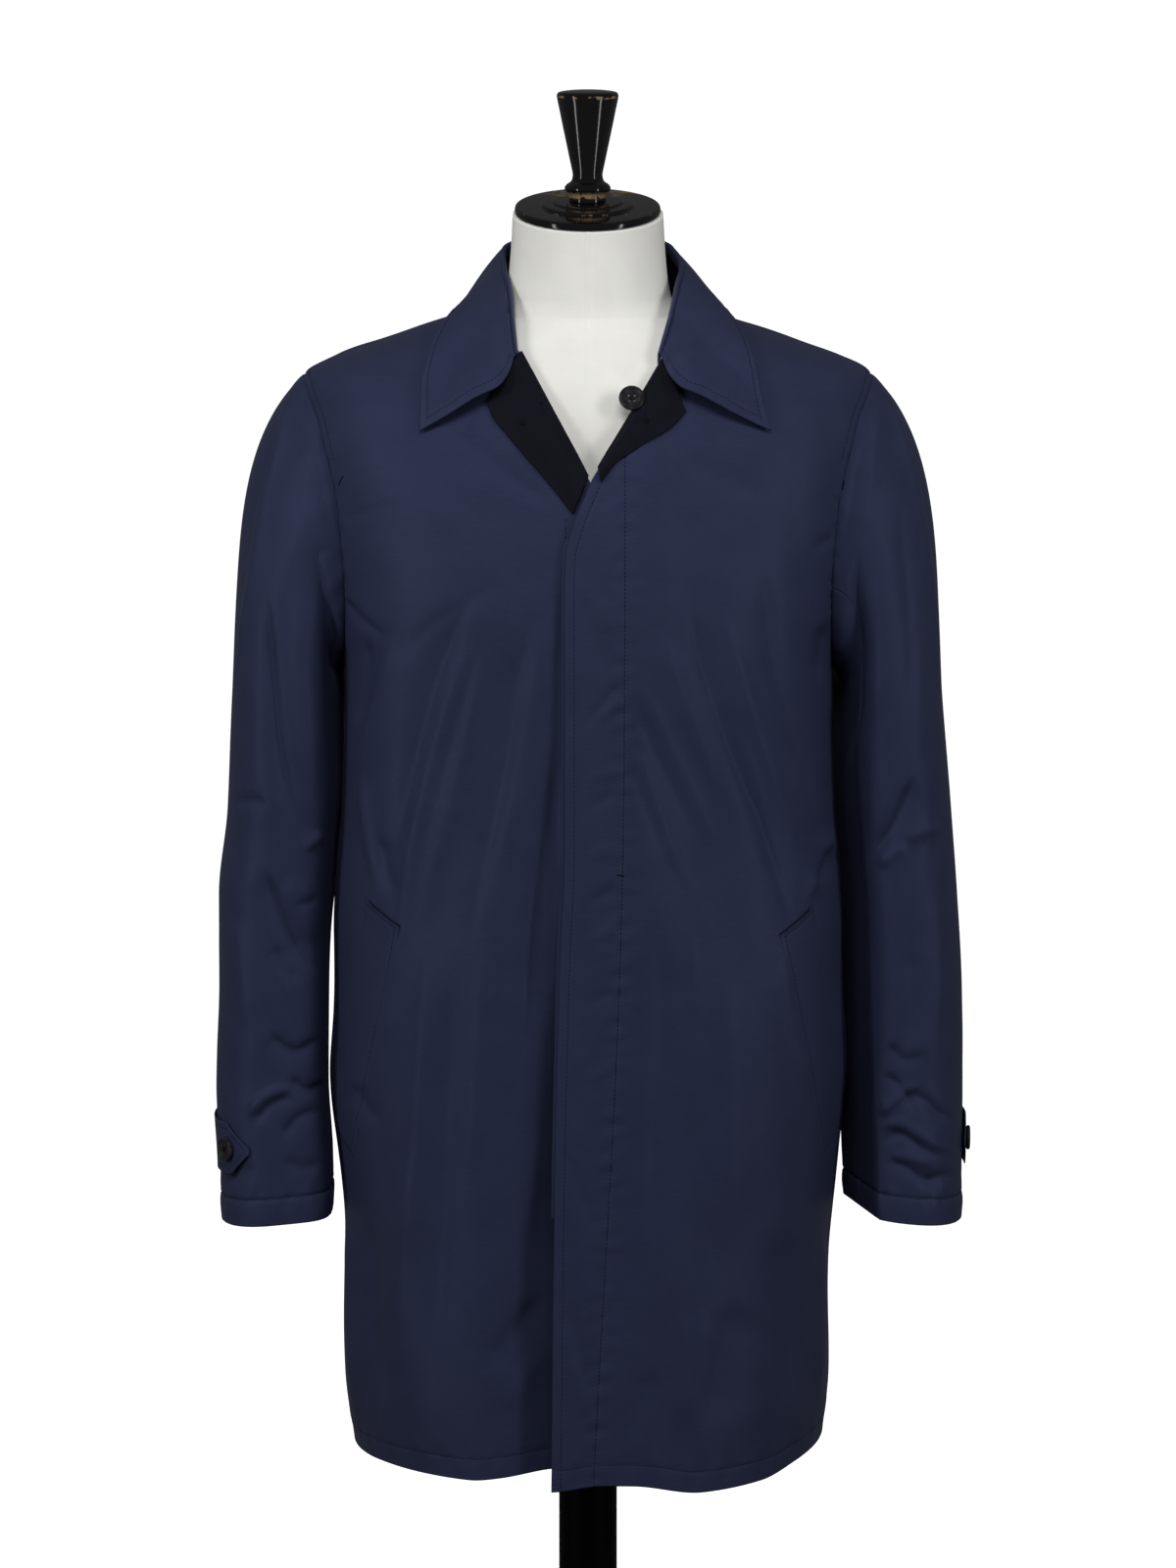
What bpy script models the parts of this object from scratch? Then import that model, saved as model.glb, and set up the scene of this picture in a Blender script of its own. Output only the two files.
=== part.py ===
"""Car coat with a fly front, worn open at the neck by a limbless dress form.

Metres, +Z up, front of the coat towards -Y, the wearer's left towards +X.
The origin is the middle of the base's underside, on the floor.
Each cloth piece is a thin wall through sections worked out from the tables below.
"""
import math

import bpy
import numpy as np

# Cloth walls
WALL = 0.0020
THIN_WALL = 0.0014
SEAM_GAP = 0.0003
# Room for the flat facets of the cloth beneath a piece that lies on it
FACET_ROOM = 0.0007
HALF_GAP = SEAM_GAP / 2

# Heights of the coat
HEM_Z = 0.587
ARMPIT_Z = 1.215
TIP_Z = 1.4445
NECK_POINT_Z = 1.4975
NECK_RISE_POWER = 0.8

# Grid of the body panels
SKIRT_ROWS = 10
EDGE_ROWS = 4
ROLL_ROWS = 4
NECK_ROWS = 4
ARM_ROWS = EDGE_ROWS + ROLL_ROWS + NECK_ROWS
FRONT_COLS = 14
BACK_COLS = 2 * NECK_ROWS + 11
# The columns of the back fan out towards the neck and shoulders by this power
BACK_FAN_POWER = 2

# Body sections: height, half width, depth to the front, depth to the back, squareness
BODY_SECTIONS = [
    (0.570, 0.1868, 0.1685, 0.1655, 2.30),
    (0.590, 0.1890, 0.1678, 0.1648, 2.30),
    (0.640, 0.1945, 0.1660, 0.1630, 2.35),
    (0.750, 0.1978, 0.1620, 0.1590, 2.40),
    (0.900, 0.2020, 0.1570, 0.1530, 2.50),
    (1.000, 0.2020, 0.1535, 0.1485, 2.60),
    (1.050, 0.1995, 0.1520, 0.1465, 2.62),
    (1.100, 0.1950, 0.1510, 0.1450, 2.65),
    (1.160, 0.1930, 0.1500, 0.1440, 2.70),
    (1.215, 0.1925, 0.1490, 0.1450, 2.75),
    (1.270, 0.1985, 0.1465, 0.1465, 2.70),
    (1.330, 0.2115, 0.1380, 0.1455, 2.50),
    (1.370, 0.2205, 0.1285, 0.1415, 2.40),
    (1.400, 0.2270, 0.1185, 0.1345, 2.30),
    (1.428, 0.2280, 0.1075, 0.1230, 2.20),
    (1.4445, 0.2220, 0.0990, 0.1145, 2.15),
    (1.4580, 0.1980, 0.0910, 0.1055, 2.10),
    (1.4698, 0.1633, 0.0835, 0.0970, 2.10),
    (1.4815, 0.1302, 0.0750, 0.0885, 2.10),
    (1.4975, 0.0860, 0.0635, 0.0775, 2.00),
    (1.5120, 0.0620, 0.0560, 0.0660, 2.00),
]

# Armhole: share of the way up, height, distance ahead of the shoulder line, behind it
ARMHOLE = [
    (0.00, 1.2150, 0.000, 0.000),
    (0.10, 1.2220, 0.029, 0.032),
    (0.20, 1.2420, 0.052, 0.058),
    (0.30, 1.2720, 0.066, 0.075),
    (0.40, 1.3060, 0.072, 0.082),
    (0.50, 1.3400, 0.072, 0.083),
    (0.60, 1.3710, 0.067, 0.077),
    (0.70, 1.3980, 0.058, 0.067),
    (0.80, 1.4200, 0.045, 0.052),
    (0.90, 1.4370, 0.025, 0.029),
    (1.00, 1.4445, 0.000, 0.000),
]

# Hem heights: distance to one side of the middle, height
HEM_LEFT = [
    (-0.035, 0.5826),
    (-0.020, 0.5840),
    (0.010, 0.5885),
    (0.035, 0.5880),
    (0.090, 0.5780),
    (0.138, 0.5800),
    (0.165, 0.5870),
    (0.195, 0.5930),
]
HEM_RIGHT = [
    (-0.040, 0.5980),
    (0.030, 0.5960),
    (0.070, 0.5905),
    (0.095, 0.5875),
    (0.155, 0.5880),
    (0.195, 0.5850),
]
# Hem of the back: share of the way from the left side to the right, height
HEM_BACK = [
    (0.0, 0.5930),
    (0.3, 0.5860),
    (0.7, 0.5840),
    (1.0, 0.5850),
]

# Front edge of the upper (wearer's left) front: height, x
LEFT_EDGE = [
    (0.585, -0.0276),
    (0.800, -0.0253),
    (1.000, -0.0209),
    (1.090, -0.0172),
    (1.280, -0.0172),
    (1.317, -0.0162),
    (1.345, -0.0085),
    (1.3745, 0.0038),
]

# Front edge of the under (wearer's right) front: height, x
RIGHT_EDGE = [
    (0.585, -0.0330),
    (1.280, -0.0330),
    (1.330, -0.0270),
    (1.3715, -0.0020),
]

# Roll line tops: x, height
LEFT_ROLL_TOP = (0.0584, 1.4630)
RIGHT_ROLL_TOP = (0.0520, 1.4670)

# The upper front stands out over the under front, and settles beside the fly
OVERLAP_LIFT = 0.0062
OVERLAP_FULL_X = 0.036
OVERLAP_END_X = 0.085
OVERLAP_TOP_Z = (1.375, 1.425)

# The under front falls back behind the overlap: x range, then height range
TUCK_DEPTH = 0.022
TUCK_X = (0.085, 0.015)
TUCK_Z = (1.260, 0.740)

# Folds fade out this near to a side seam (radians)
SIDE_CALM = 0.26

# Largest folds of the fronts: side, top x, top z, bottom x, bottom z, half width, depth
FRONT_FOLDS = [
    (1, 0.040, 1.215, 0.135, 0.975, 0.032, 0.0050),
    (1, 0.090, 1.200, 0.165, 1.010, 0.030, 0.0040),
    (-1, 0.078, 1.270, 0.118, 1.120, 0.030, 0.0045),
    (-1, 0.045, 1.250, 0.152, 0.940, 0.030, 0.0050),
]

# Largest folds of the back: top x, top z, bottom x, bottom z, half width, depth
BACK_FOLDS = [
    (-0.060, 1.240, -0.105, 0.640, 0.036, 0.0060),
    (0.020, 1.180, 0.035, 0.610, 0.034, 0.0050),
    (0.085, 1.260, 0.120, 0.720, 0.034, 0.0055),
]

# Sleeves: height, inner x, outer x, middle y, half depth
SLEEVE_R = [
    (1.190, 0.1965, 0.2805, 0.006, 0.0800),
    (1.100, 0.1982, 0.2860, 0.004, 0.0760),
    (1.030, 0.2050, 0.2938, 0.000, 0.0710),
    (0.960, 0.2075, 0.2935, -0.006, 0.0670),
    (0.880, 0.2085, 0.2965, -0.015, 0.0610),
    (0.820, 0.2050, 0.2930, -0.023, 0.0555),
    (0.780, 0.2045, 0.2925, -0.028, 0.0530),
]
SLEEVE_L = [
    (1.190, 0.1965, 0.2800, 0.006, 0.0800),
    (1.100, 0.1982, 0.2880, 0.004, 0.0760),
    (1.030, 0.2050, 0.2935, 0.000, 0.0710),
    (0.960, 0.2062, 0.2975, -0.005, 0.0670),
    (0.880, 0.2075, 0.2990, -0.013, 0.0610),
    (0.820, 0.2100, 0.2985, -0.020, 0.0555),
    (0.780, 0.2115, 0.2985, -0.024, 0.0530),
]
# The upper sleeve is turned a little, its back towards the body: amount, height range
SLEEVE_SKEW = 0.12
SKEW_Z = (0.950, 1.120)
SLEEVE_SQUARE = 2.25
CAP_ROWS = 6
ARM_RINGS = 9
CUFF_TILT = 0.10
CUFF_TILT_FROM = 0.12
# Columns of the forearm seam, right and left, and of the back seam
SEAM_COL_FRONT_R = 2
SEAM_COL_FRONT_L = 4
SEAM_COL_BACK = 20
# Way the sleeve leaves the armhole: at the armpit, front and back, shoulder tip
LEAVE_ARMPIT = (0.60, -0.80)
LEAVE_SIDE = (0.55, -0.84)
LEAVE_TIP = (0.74, -0.67)
ARMPIT_END = 0.45
TIP_START = 0.55
CAP_PULL = 0.85
CAP_START_PULL = 0.96
HEAD_STEP = 0.010
# Elbow and cuff folds: height, half height, depth, middle angle, half angle (degrees)
SLEEVE_FOLDS = [
    (1.085, 0.022, 0.0045, 80.0, 45.0),
    (1.005, 0.024, 0.0040, 70.0, 45.0),
    (0.890, 0.020, 0.0040, 105.0, 55.0),
]

# Collar fold line: part of the way from the roll top to the middle back, x, y, z
COLLAR_FOLD = [
    (0.00, 0.0560, -0.0860, 1.4670),
    (0.16, 0.0615, -0.0600, 1.4910),
    (0.32, 0.0665, -0.0300, 1.5130),
    (0.52, 0.0715, 0.0100, 1.5290),
    (0.70, 0.0670, 0.0470, 1.5390),
    (0.86, 0.0410, 0.0760, 1.5450),
    (1.00, 0.0000, 0.0850, 1.5470),
]
# Collar outer edge: same way, x on the right, x on the left, y, z
COLLAR_EDGE = [
    (0.00, 0.1285, 0.1394, -0.1080, 1.4095),
    (0.16, 0.1290, 0.1335, -0.0930, 1.4390),
    (0.32, 0.1230, 0.1270, -0.0690, 1.4680),
    (0.52, 0.1050, 0.1080, -0.0050, 1.4945),
    (0.70, 0.0960, 0.0960, 0.0550, 1.4900),
    (0.86, 0.0560, 0.0560, 0.0900, 1.4790),
    (1.00, 0.0000, 0.0000, 0.0980, 1.4770),
]
# Collar end: share of the way from fold to point, x, z
COLLAR_END = [
    (0.00, 0.0560, 1.4670),
    (0.20, 0.0625, 1.4475),
    (0.32, 0.0690, 1.4390),
    (0.50, 0.0850, 1.4325),
    (0.75, 0.1090, 1.4210),
    (1.00, 0.1345, 1.4095),
]
# Share of the way at which the collar passes the shoulder seam
COLLAR_SHOULDER = 0.52
COLLAR_COLS = 27
COLLAR_ROWS = 6
STAND_ROWS = 4
COLLAR_LIFT = 0.0050
COLLAR_END_REACH = 0.22
# How far the fall arches out (or sags in) between fold and edge, by share of the way
COLLAR_ROLL = [
    (0.00, 0.0045),
    (0.16, 0.0035),
    (0.32, 0.0020),
    (0.50, 0.0010),
    (0.68, 0.0030),
    (0.86, 0.0045),
    (1.00, 0.0045),
]
# The collar sits a little towards the left: share of the way, shift
COLLAR_SHIFT = [
    (0.00, 0.0000),
    (0.30, 0.0040),
    (0.50, 0.0040),
    (0.70, 0.0000),
    (1.00, 0.0000),
]
COLLAR_ROLL_UP = 0.6
COLLAR_STAND_FROM = 0.09
STAND_INSET = 0.0028
STAND_RISE = 0.0010
STAND_DROP = 0.0052

# Turned-back fronts: share of the roll line from its top, then outer edge x, z
REVERS_R = [
    (0.04, 0.0772, 1.4310),
    (0.22, 0.0735, 1.4220),
    (0.40, 0.0625, 1.4090),
    (0.58, 0.0470, 1.3915),
    (0.76, 0.0315, 1.3745),
    (0.95, 0.0115, 1.3500),
]
REVERS_L = [
    (0.04, 0.0750, 1.4250),
    (0.22, 0.0640, 1.4140),
    (0.40, 0.0480, 1.4045),
    (0.58, 0.0328, 1.3945),
    (0.76, 0.0205, 1.3860),
    (0.92, 0.0100, 1.3725),
]
REVERS_COLS = 4

# Strip behind the fly edge
UNDERLAY_Z = (0.800, 1.330)
UNDERLAY_OUT = 0.0028
UNDERLAY_WIDTH = 0.034
UNDERLAY_ROWS = 12

# Slanted pocket welts: front edge top x, z, bottom x, z
WELT_R = (0.1470, 1.0250, 0.1840, 0.8310)
WELT_L = (0.1500, 1.0180, 0.1850, 0.8300)
WELT_WIDTH = 0.036
WELT_RISE = 0.019
WELT_ROWS = 9
WELT_COLS = 4

# Cuff tabs: pointed end angle, sewn end angle (degrees from the inner side by the front)
TAB_R = (108.0, 196.0)
TAB_L = (158.0, 238.0)
TAB_Z = 0.8375
TAB_HALF = 0.0185
TAB_POINT = 0.22
TAB_BLUNT = 0.12
TAB_COLS = 9
TAB_ROWS = 5
TAB_BUTTON_COL = 2

# Buttons: radius, thickness; the neck button's place on the left roll line
NECK_BUTTON = (0.0100, 0.0034)
CUFF_BUTTON = (0.0098, 0.0032)
NECK_BUTTON_AT = (0.0335, 1.4345)
NECK_BUTTON_ROW = 2
NECK_BUTTON_OFF = 0.0012
# Button outline: share of the radius, share of the thickness
BUTTON_SHAPE = [(0.80, 0.0), (1.0, 0.30), (1.0, 0.75), (0.88, 1.0), (0.70, 0.92), (0.62, 0.60)]
BUTTON_SEGMENTS = 28

# Form sections: height, half width, depth to the front, depth to the back, squareness
BUST_SECTIONS = [
    (0.830, 0.1500, 0.1050, 0.1100, 2.20),
    (0.900, 0.1600, 0.1130, 0.1200, 2.20),
    (1.000, 0.1480, 0.1080, 0.1080, 2.20),
    (1.090, 0.1400, 0.1060, 0.1020, 2.20),
    (1.200, 0.1540, 0.1170, 0.1130, 2.25),
    (1.300, 0.1680, 0.1210, 0.1240, 2.30),
    (1.370, 0.1850, 0.1130, 0.1260, 2.30),
    (1.400, 0.1950, 0.1060, 0.1220, 2.25),
    (1.428, 0.2000, 0.0985, 0.1140, 2.15),
    (1.4445, 0.2005, 0.0930, 0.1085, 2.10),
    (1.4580, 0.1925, 0.0857, 0.1002, 2.10),
    (1.4698, 0.1580, 0.0783, 0.0918, 2.10),
    (1.4815, 0.1252, 0.0699, 0.0834, 2.10),
    (1.4960, 0.0770, 0.0595, 0.0695, 2.00),
    (1.5090, 0.0650, 0.0582, 0.0635, 2.00),
    (1.5350, 0.0612, 0.0575, 0.0605, 2.00),
    (1.5697, 0.0590, 0.0575, 0.0595, 2.00),
]
BUST_RINGS = 36
BUST_SEGMENTS = 40
SHOULDER_DROP = 0.0024
NECK_TILT = 0.172
NECK_TILT_FROM = 1.515

# Neck cap, across the tilted neck: radius, height above its underside
CAP_PROFILE = [
    (0.0560, 0.0000),
    (0.0572, 0.0012),
    (0.0572, 0.0048),
    (0.0562, 0.0060),
    (0.0370, 0.0068),
    (0.0360, 0.0086),
    (0.0285, 0.0093),
    (0.0270, 0.0106),
]
CAP_Z = 1.5700
CAP_SHIFT_X = -0.0003
# Turned knob: radius, height
KNOB_PROFILE = [
    (0.0145, 1.5809),
    (0.0150, 1.5858),
    (0.0180, 1.5897),
    (0.0150, 1.5944),
    (0.0121, 1.5982),
    (0.0121, 1.6030),
    (0.0159, 1.6210),
    (0.0199, 1.6405),
    (0.0229, 1.6550),
    (0.0242, 1.6612),
    (0.0230, 1.6645),
    (0.0140, 1.6666),
]
TURN_SEGMENTS = 40

# Stand
POST_RADIUS = 0.0235
BASE_PROFILE = [
    (0.1960, 0.0000),
    (0.2000, 0.0030),
    (0.2000, 0.0150),
    (0.1960, 0.0190),
    (0.0500, 0.0230),
]
BASE_TOP_Z = 0.0230
STAND_SEGMENTS = 64

COLOURS = {
    "shell_cloth": (0.020, 0.024, 0.053, 1.0),
    "inner_cloth": (0.010, 0.010, 0.017, 1.0),
    "button_resin": (0.006, 0.006, 0.007, 1.0),
    "form_canvas": (0.680, 0.675, 0.640, 1.0),
    "black_lacquer": (0.004, 0.004, 0.004, 1.0),
    "stand_metal": (0.003, 0.003, 0.003, 1.0),
}
ROUGH = {
    "shell_cloth": 0.55,
    "inner_cloth": 0.75,
    "button_resin": 0.30,
    "form_canvas": 0.90,
    "black_lacquer": 0.20,
    "stand_metal": 0.45,
}


LEVEL = np.array([1.0, 1.0, 0.0])
UP = np.array([0.0, 0.0, 1.0])


class Profile:
    """Smooth columns through a table whose first column only rises."""

    def __init__(self, rows):
        data = np.array(sorted(rows), dtype=float)
        self.t = data[:, 0]
        self.v = data[:, 1:]
        step = np.diff(self.t)[:, None]
        rise = np.diff(self.v, axis=0) / step
        slope = np.zeros_like(self.v)
        slope[0] = rise[0]
        slope[-1] = rise[-1]
        before = rise[:-1]
        after = rise[1:]
        same = before * after > 0
        total = np.where(same, before + after, 1.0)
        slope[1:-1] = np.where(same, 2 * before * after / total, 0.0)
        self.slope = slope

    def at(self, t):
        t = np.clip(np.asarray(t, dtype=float), self.t[0], self.t[-1])
        k = np.clip(np.searchsorted(self.t, t) - 1, 0, len(self.t) - 2)
        width = self.t[k + 1] - self.t[k]
        f = ((t - self.t[k]) / width)[..., None]
        width = width[..., None]
        h00 = (1 + 2 * f) * (1 - f) ** 2
        h10 = f * (1 - f) ** 2
        h01 = f * f * (3 - 2 * f)
        h11 = f * f * (f - 1)
        ends = h00 * self.v[k] + h01 * self.v[k + 1]
        return ends + width * (h10 * self.slope[k] + h11 * self.slope[k + 1])


BODY = Profile(BODY_SECTIONS)
BUST = Profile(BUST_SECTIONS)
EDGE_L = Profile(LEFT_EDGE)
EDGE_R = Profile(RIGHT_EDGE)


def smooth_step(start, end, value):
    f = np.clip((np.asarray(value, dtype=float) - start) / (end - start), 0.0, 1.0)
    return f * f * (3 - 2 * f)


def unit(vectors):
    return vectors / np.maximum(np.linalg.norm(vectors, axis=-1, keepdims=True), 1e-12)


def section_point(profile, angle, z):
    """Point of a section: angle from the middle front, towards the wearer's left."""
    half, front, back, square = np.moveaxis(profile.at(z), -1, 0)
    side = np.abs(np.sin(angle))
    ahead = np.cos(angle)
    depth = np.where(ahead > 0, front, back)
    radius = ((side / half) ** square + (np.abs(ahead) / depth) ** square) ** (-1 / square)
    return np.stack([radius * np.sin(angle), -radius * ahead, z + 0 * angle], axis=-1)


def front_angle(x, z):
    """Angle of the point of the front with this x."""
    half, front, _, square = np.moveaxis(BODY.at(z), -1, 0)
    share = np.clip(np.abs(x) / half, 0.0, 1.0)
    depth = front * (1 - share ** square) ** (1 / square)
    return np.arctan2(x, depth)


def side_angle(y, z, side):
    """Angle of the point of one side with this y."""
    half, front, back, square = np.moveaxis(BODY.at(z), -1, 0)
    depth = np.where(y < 0, front, back)
    share = np.clip(np.abs(y) / depth, 0.0, 1.0)
    across = half * (1 - share ** square) ** (1 / square)
    return np.arctan2(side * across, -y)


def fold_depth(x, z, top_x, top_z, low_x, low_z, width, depth):
    """Soft trough along a line, fading out at both ends."""
    run = np.array([low_x - top_x, low_z - top_z])
    length = np.hypot(*run)
    run = run / length
    along = ((x - top_x) * run[0] + (z - top_z) * run[1]) / length
    aside = (x - top_x) * run[1] - (z - top_z) * run[0]
    fade = np.clip(along, 0.0, 1.0) * np.clip(1.0 - along, 0.0, 1.0) * 4
    return -depth * fade * np.exp(-((aside / width) ** 2))


def front_offset(x, z, side):
    """How far a front stands off the plain section."""
    across = side * x
    total = np.zeros_like(x)
    for fold_side, top_x, top_z, low_x, low_z, width, depth in FRONT_FOLDS:
        if fold_side == side:
            total = total + fold_depth(across, z, top_x, top_z, low_x, low_z, width, depth)
    if side > 0:
        lift = 1 - smooth_step(OVERLAP_FULL_X, OVERLAP_END_X, x)
        lift = lift * (1 - smooth_step(OVERLAP_TOP_Z[0], OVERLAP_TOP_Z[1], z))
        return total + OVERLAP_LIFT * lift
    tuck = smooth_step(TUCK_X[0], TUCK_X[1], across) * smooth_step(TUCK_Z[0], TUCK_Z[1], z)
    return total - TUCK_DEPTH * tuck


def back_offset(x, z):
    total = np.zeros_like(x)
    for row in BACK_FOLDS:
        total = total + fold_depth(x, z, *row)
    return total


def plain_normal(angle, z):
    step_a = 1e-4
    step_z = 1e-5
    along = section_point(BODY, angle + step_a, z) - section_point(BODY, angle - step_a, z)
    up = section_point(BODY, angle, z + step_z) - section_point(BODY, angle, z - step_z)
    return unit(np.cross(along, up))


def body_surface(angle, z, panel):
    """Middle of the cloth of a body panel: 'left', 'right' or 'back'."""
    point = section_point(BODY, angle, z)
    if panel == "back":
        offset = back_offset(point[..., 0], z)
        from_side = np.minimum(angle - math.pi / 2, 3 * math.pi / 2 - angle)
    else:
        offset = front_offset(point[..., 0], z, 1 if panel == "left" else -1)
        from_side = math.pi / 2 - np.abs(angle)
    offset = offset * smooth_step(0.0, SIDE_CALM, from_side)
    return point + plain_normal(angle, z) * offset[..., None]


def body_normal(angle, z, panel):
    step_a = 1e-4
    step_z = 1e-5
    along = body_surface(angle + step_a, z, panel) - body_surface(angle - step_a, z, panel)
    up = body_surface(angle, z + step_z, panel) - body_surface(angle, z - step_z, panel)
    return unit(np.cross(along, up))


def lift_off_body(points, height):
    """Moves points out until they stand this far off the plain body section."""
    moved = points.copy()
    step = 1e-4
    for _ in range(4):
        def gap(p):
            angle = np.arctan2(p[..., 0], -p[..., 1])
            on = section_point(BODY, angle, p[..., 2])
            return np.hypot(p[..., 0], p[..., 1]) - np.hypot(on[..., 0], on[..., 1])
        grad = np.zeros_like(moved)
        for axis in range(3):
            shift = np.zeros(3)
            shift[axis] = step
            grad[..., axis] = (gap(moved + shift) - gap(moved - shift)) / (2 * step)
        size = np.maximum(np.linalg.norm(grad, axis=-1), 1e-9)
        short = np.maximum(height - gap(moved) / size, 0.0)
        moved = moved + grad / size[..., None] * short[..., None]
    return moved


def clear_scene():
    for obj in list(bpy.data.objects):
        bpy.data.objects.remove(obj, do_unlink=True)


def material(slot):
    found = bpy.data.materials.get(slot)
    if found:
        return found
    made = bpy.data.materials.new(slot)
    made.use_nodes = True
    shader = made.node_tree.nodes["Principled BSDF"]
    shader.inputs["Base Color"].default_value = COLOURS[slot]
    shader.inputs["Roughness"].default_value = ROUGH[slot]
    made.diffuse_color = COLOURS[slot]
    return made


def signed_volume(points, faces):
    total = 0.0
    for face in faces:
        for k in range(1, len(face) - 1):
            a, b, c = points[face[0]], points[face[k]], points[face[k + 1]]
            total += np.dot(a, np.cross(b, c))
    return total / 6


def add_solid(name, points, faces, slot):
    points = np.asarray(points, dtype=float)
    if signed_volume(points, faces) < 0:
        faces = [tuple(reversed(face)) for face in faces]
    mesh = bpy.data.meshes.new(name)
    mesh.from_pydata([tuple(p) for p in points], [], faces)
    mesh.materials.append(material(slot))
    mesh.update()
    obj = bpy.data.objects.new(name, mesh)
    bpy.context.collection.objects.link(obj)
    return obj


def add_wall(name, middle, normal, thick, slot):
    """Open grid of rows and columns thickened to both sides, with a rim."""
    rows, cols = middle.shape[:2]
    half = thick / 2
    outer = (middle + normal * half).reshape(-1, 3)
    inner = (middle - normal * half).reshape(-1, 3)
    points = np.vstack([outer, inner])
    count = rows * cols
    faces = []
    for i in range(rows - 1):
        for j in range(cols - 1):
            a = i * cols + j
            b, c, d = a + 1, a + cols + 1, a + cols
            rise = outer[a] + outer[c] - outer[b] - outer[d]
            if np.dot(rise, outer[a] - inner[a] + outer[c] - inner[c]) < 0:
                a, b, c, d = b, c, d, a
            faces += [(a, b, c), (a, c, d)]
            faces += [(c + count, b + count, a + count), (d + count, c + count, a + count)]
    ring = [j for j in range(cols)]
    ring += [i * cols + cols - 1 for i in range(1, rows)]
    ring += [(rows - 1) * cols + j for j in range(cols - 2, -1, -1)]
    ring += [i * cols for i in range(rows - 2, 0, -1)]
    height = middle.reshape(-1, 3)[:, 2]
    for k, a in enumerate(ring):
        b = ring[(k + 1) % len(ring)]
        if height[a] <= height[b]:
            faces.append((b, a, b + count))
            faces.append((a, a + count, b + count))
        else:
            faces.append((b, a, a + count))
            faces.append((b, a + count, b + count))
    return add_solid(name, points, faces, slot)


def add_rings(name, rings, slot):
    """Closed rings stacked on each other, with a middle point at either end."""
    rings = np.asarray(rings, dtype=float)
    rows, cols = rings.shape[:2]
    points = list(rings.reshape(-1, 3))
    points.append(rings[0].mean(axis=0))
    points.append(rings[-1].mean(axis=0))
    low = rows * cols
    high = low + 1
    faces = []
    for i in range(rows - 1):
        for j in range(cols):
            k = (j + 1) % cols
            faces.append((i * cols + j, i * cols + k, (i + 1) * cols + k, (i + 1) * cols + j))
    top = (rows - 1) * cols
    for j in range(cols):
        k = (j + 1) % cols
        faces.append((k, j, low))
        faces.append((top + j, top + k, high))
    return add_solid(name, points, faces, slot)


def turned(profile, segments):
    """Rings of a turned shape about the Z axis."""
    angles = np.arange(segments) * 2 * math.pi / segments
    rings = []
    for radius, z in profile:
        rings.append(np.stack([radius * np.cos(angles), radius * np.sin(angles), z + 0 * angles], axis=-1))
    return np.array(rings)


def grid_normals(points):
    down = np.gradient(points, axis=0)
    across = np.gradient(points, axis=1)
    return unit(np.cross(across, down))


def pull_in(points, edge, amount):
    """Moves one edge of a grid towards the row or column beside it."""
    if edge == "last_row":
        points[-1] += unit(points[-2] - points[-1]) * amount
    elif edge == "first_col":
        points[:, 0] += unit(points[:, 1] - points[:, 0]) * amount
    else:
        points[:, -1] += unit(points[:, -2] - points[:, -1]) * amount


def armhole_curve():
    """Armhole points as y and z, from the armpit up the front, over, and down the back."""
    z, ahead, behind = np.moveaxis(Profile(ARMHOLE).at(np.linspace(0, 1, ARM_ROWS + 1)), -1, 0)
    front = np.stack([-ahead, z], axis=-1)
    back = np.stack([behind, z], axis=-1)[::-1]
    return np.vstack([front, back[1:-1]])


class Armhole:
    """Seam between the body and one sleeve."""

    def __init__(self, side):
        self.side = side
        curve = armhole_curve()
        y, z = curve[:, 0], curve[:, 1]
        self.angle = side_angle(y, z, side)
        self.z = z
        self.point = section_point(BODY, self.angle, z)
        body_n = plain_normal(self.angle, z)
        tangent = unit(np.roll(self.point, -1, axis=0) - np.roll(self.point, 1, axis=0))
        middle = self.point.mean(axis=0)
        self.out_of_body = self.square_off(middle - self.point, tangent, body_n)
        self.leave = self.square_off(self.leaving(), tangent)
        sleeve_n = self.square_off(self.point - middle, tangent, self.leave)
        self.mitre = unit(self.out_of_body + self.leave)
        normal = unit(body_n + sleeve_n)
        self.normal = normal / np.maximum((normal * body_n).sum(axis=-1, keepdims=True), 0.5)

    @staticmethod
    def square_off(vectors, *axes):
        for axis in axes:
            vectors = vectors - axis * (vectors * axis).sum(axis=-1, keepdims=True)
        return unit(vectors)

    def leaving(self):
        """Way each sleeve column leaves the seam."""
        count = 2 * ARM_ROWS
        share = np.minimum(np.arange(count), count - np.arange(count)) / ARM_ROWS
        low = 1 - smooth_step(0.0, ARMPIT_END, share)
        high = smooth_step(TIP_START, 1.0, share)
        middle = 1 - low - high
        way = np.outer(low, LEAVE_ARMPIT) + np.outer(middle, LEAVE_SIDE) + np.outer(high, LEAVE_TIP)
        return np.stack([self.side * way[:, 0], 0 * share, way[:, 1]], axis=-1)


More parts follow.
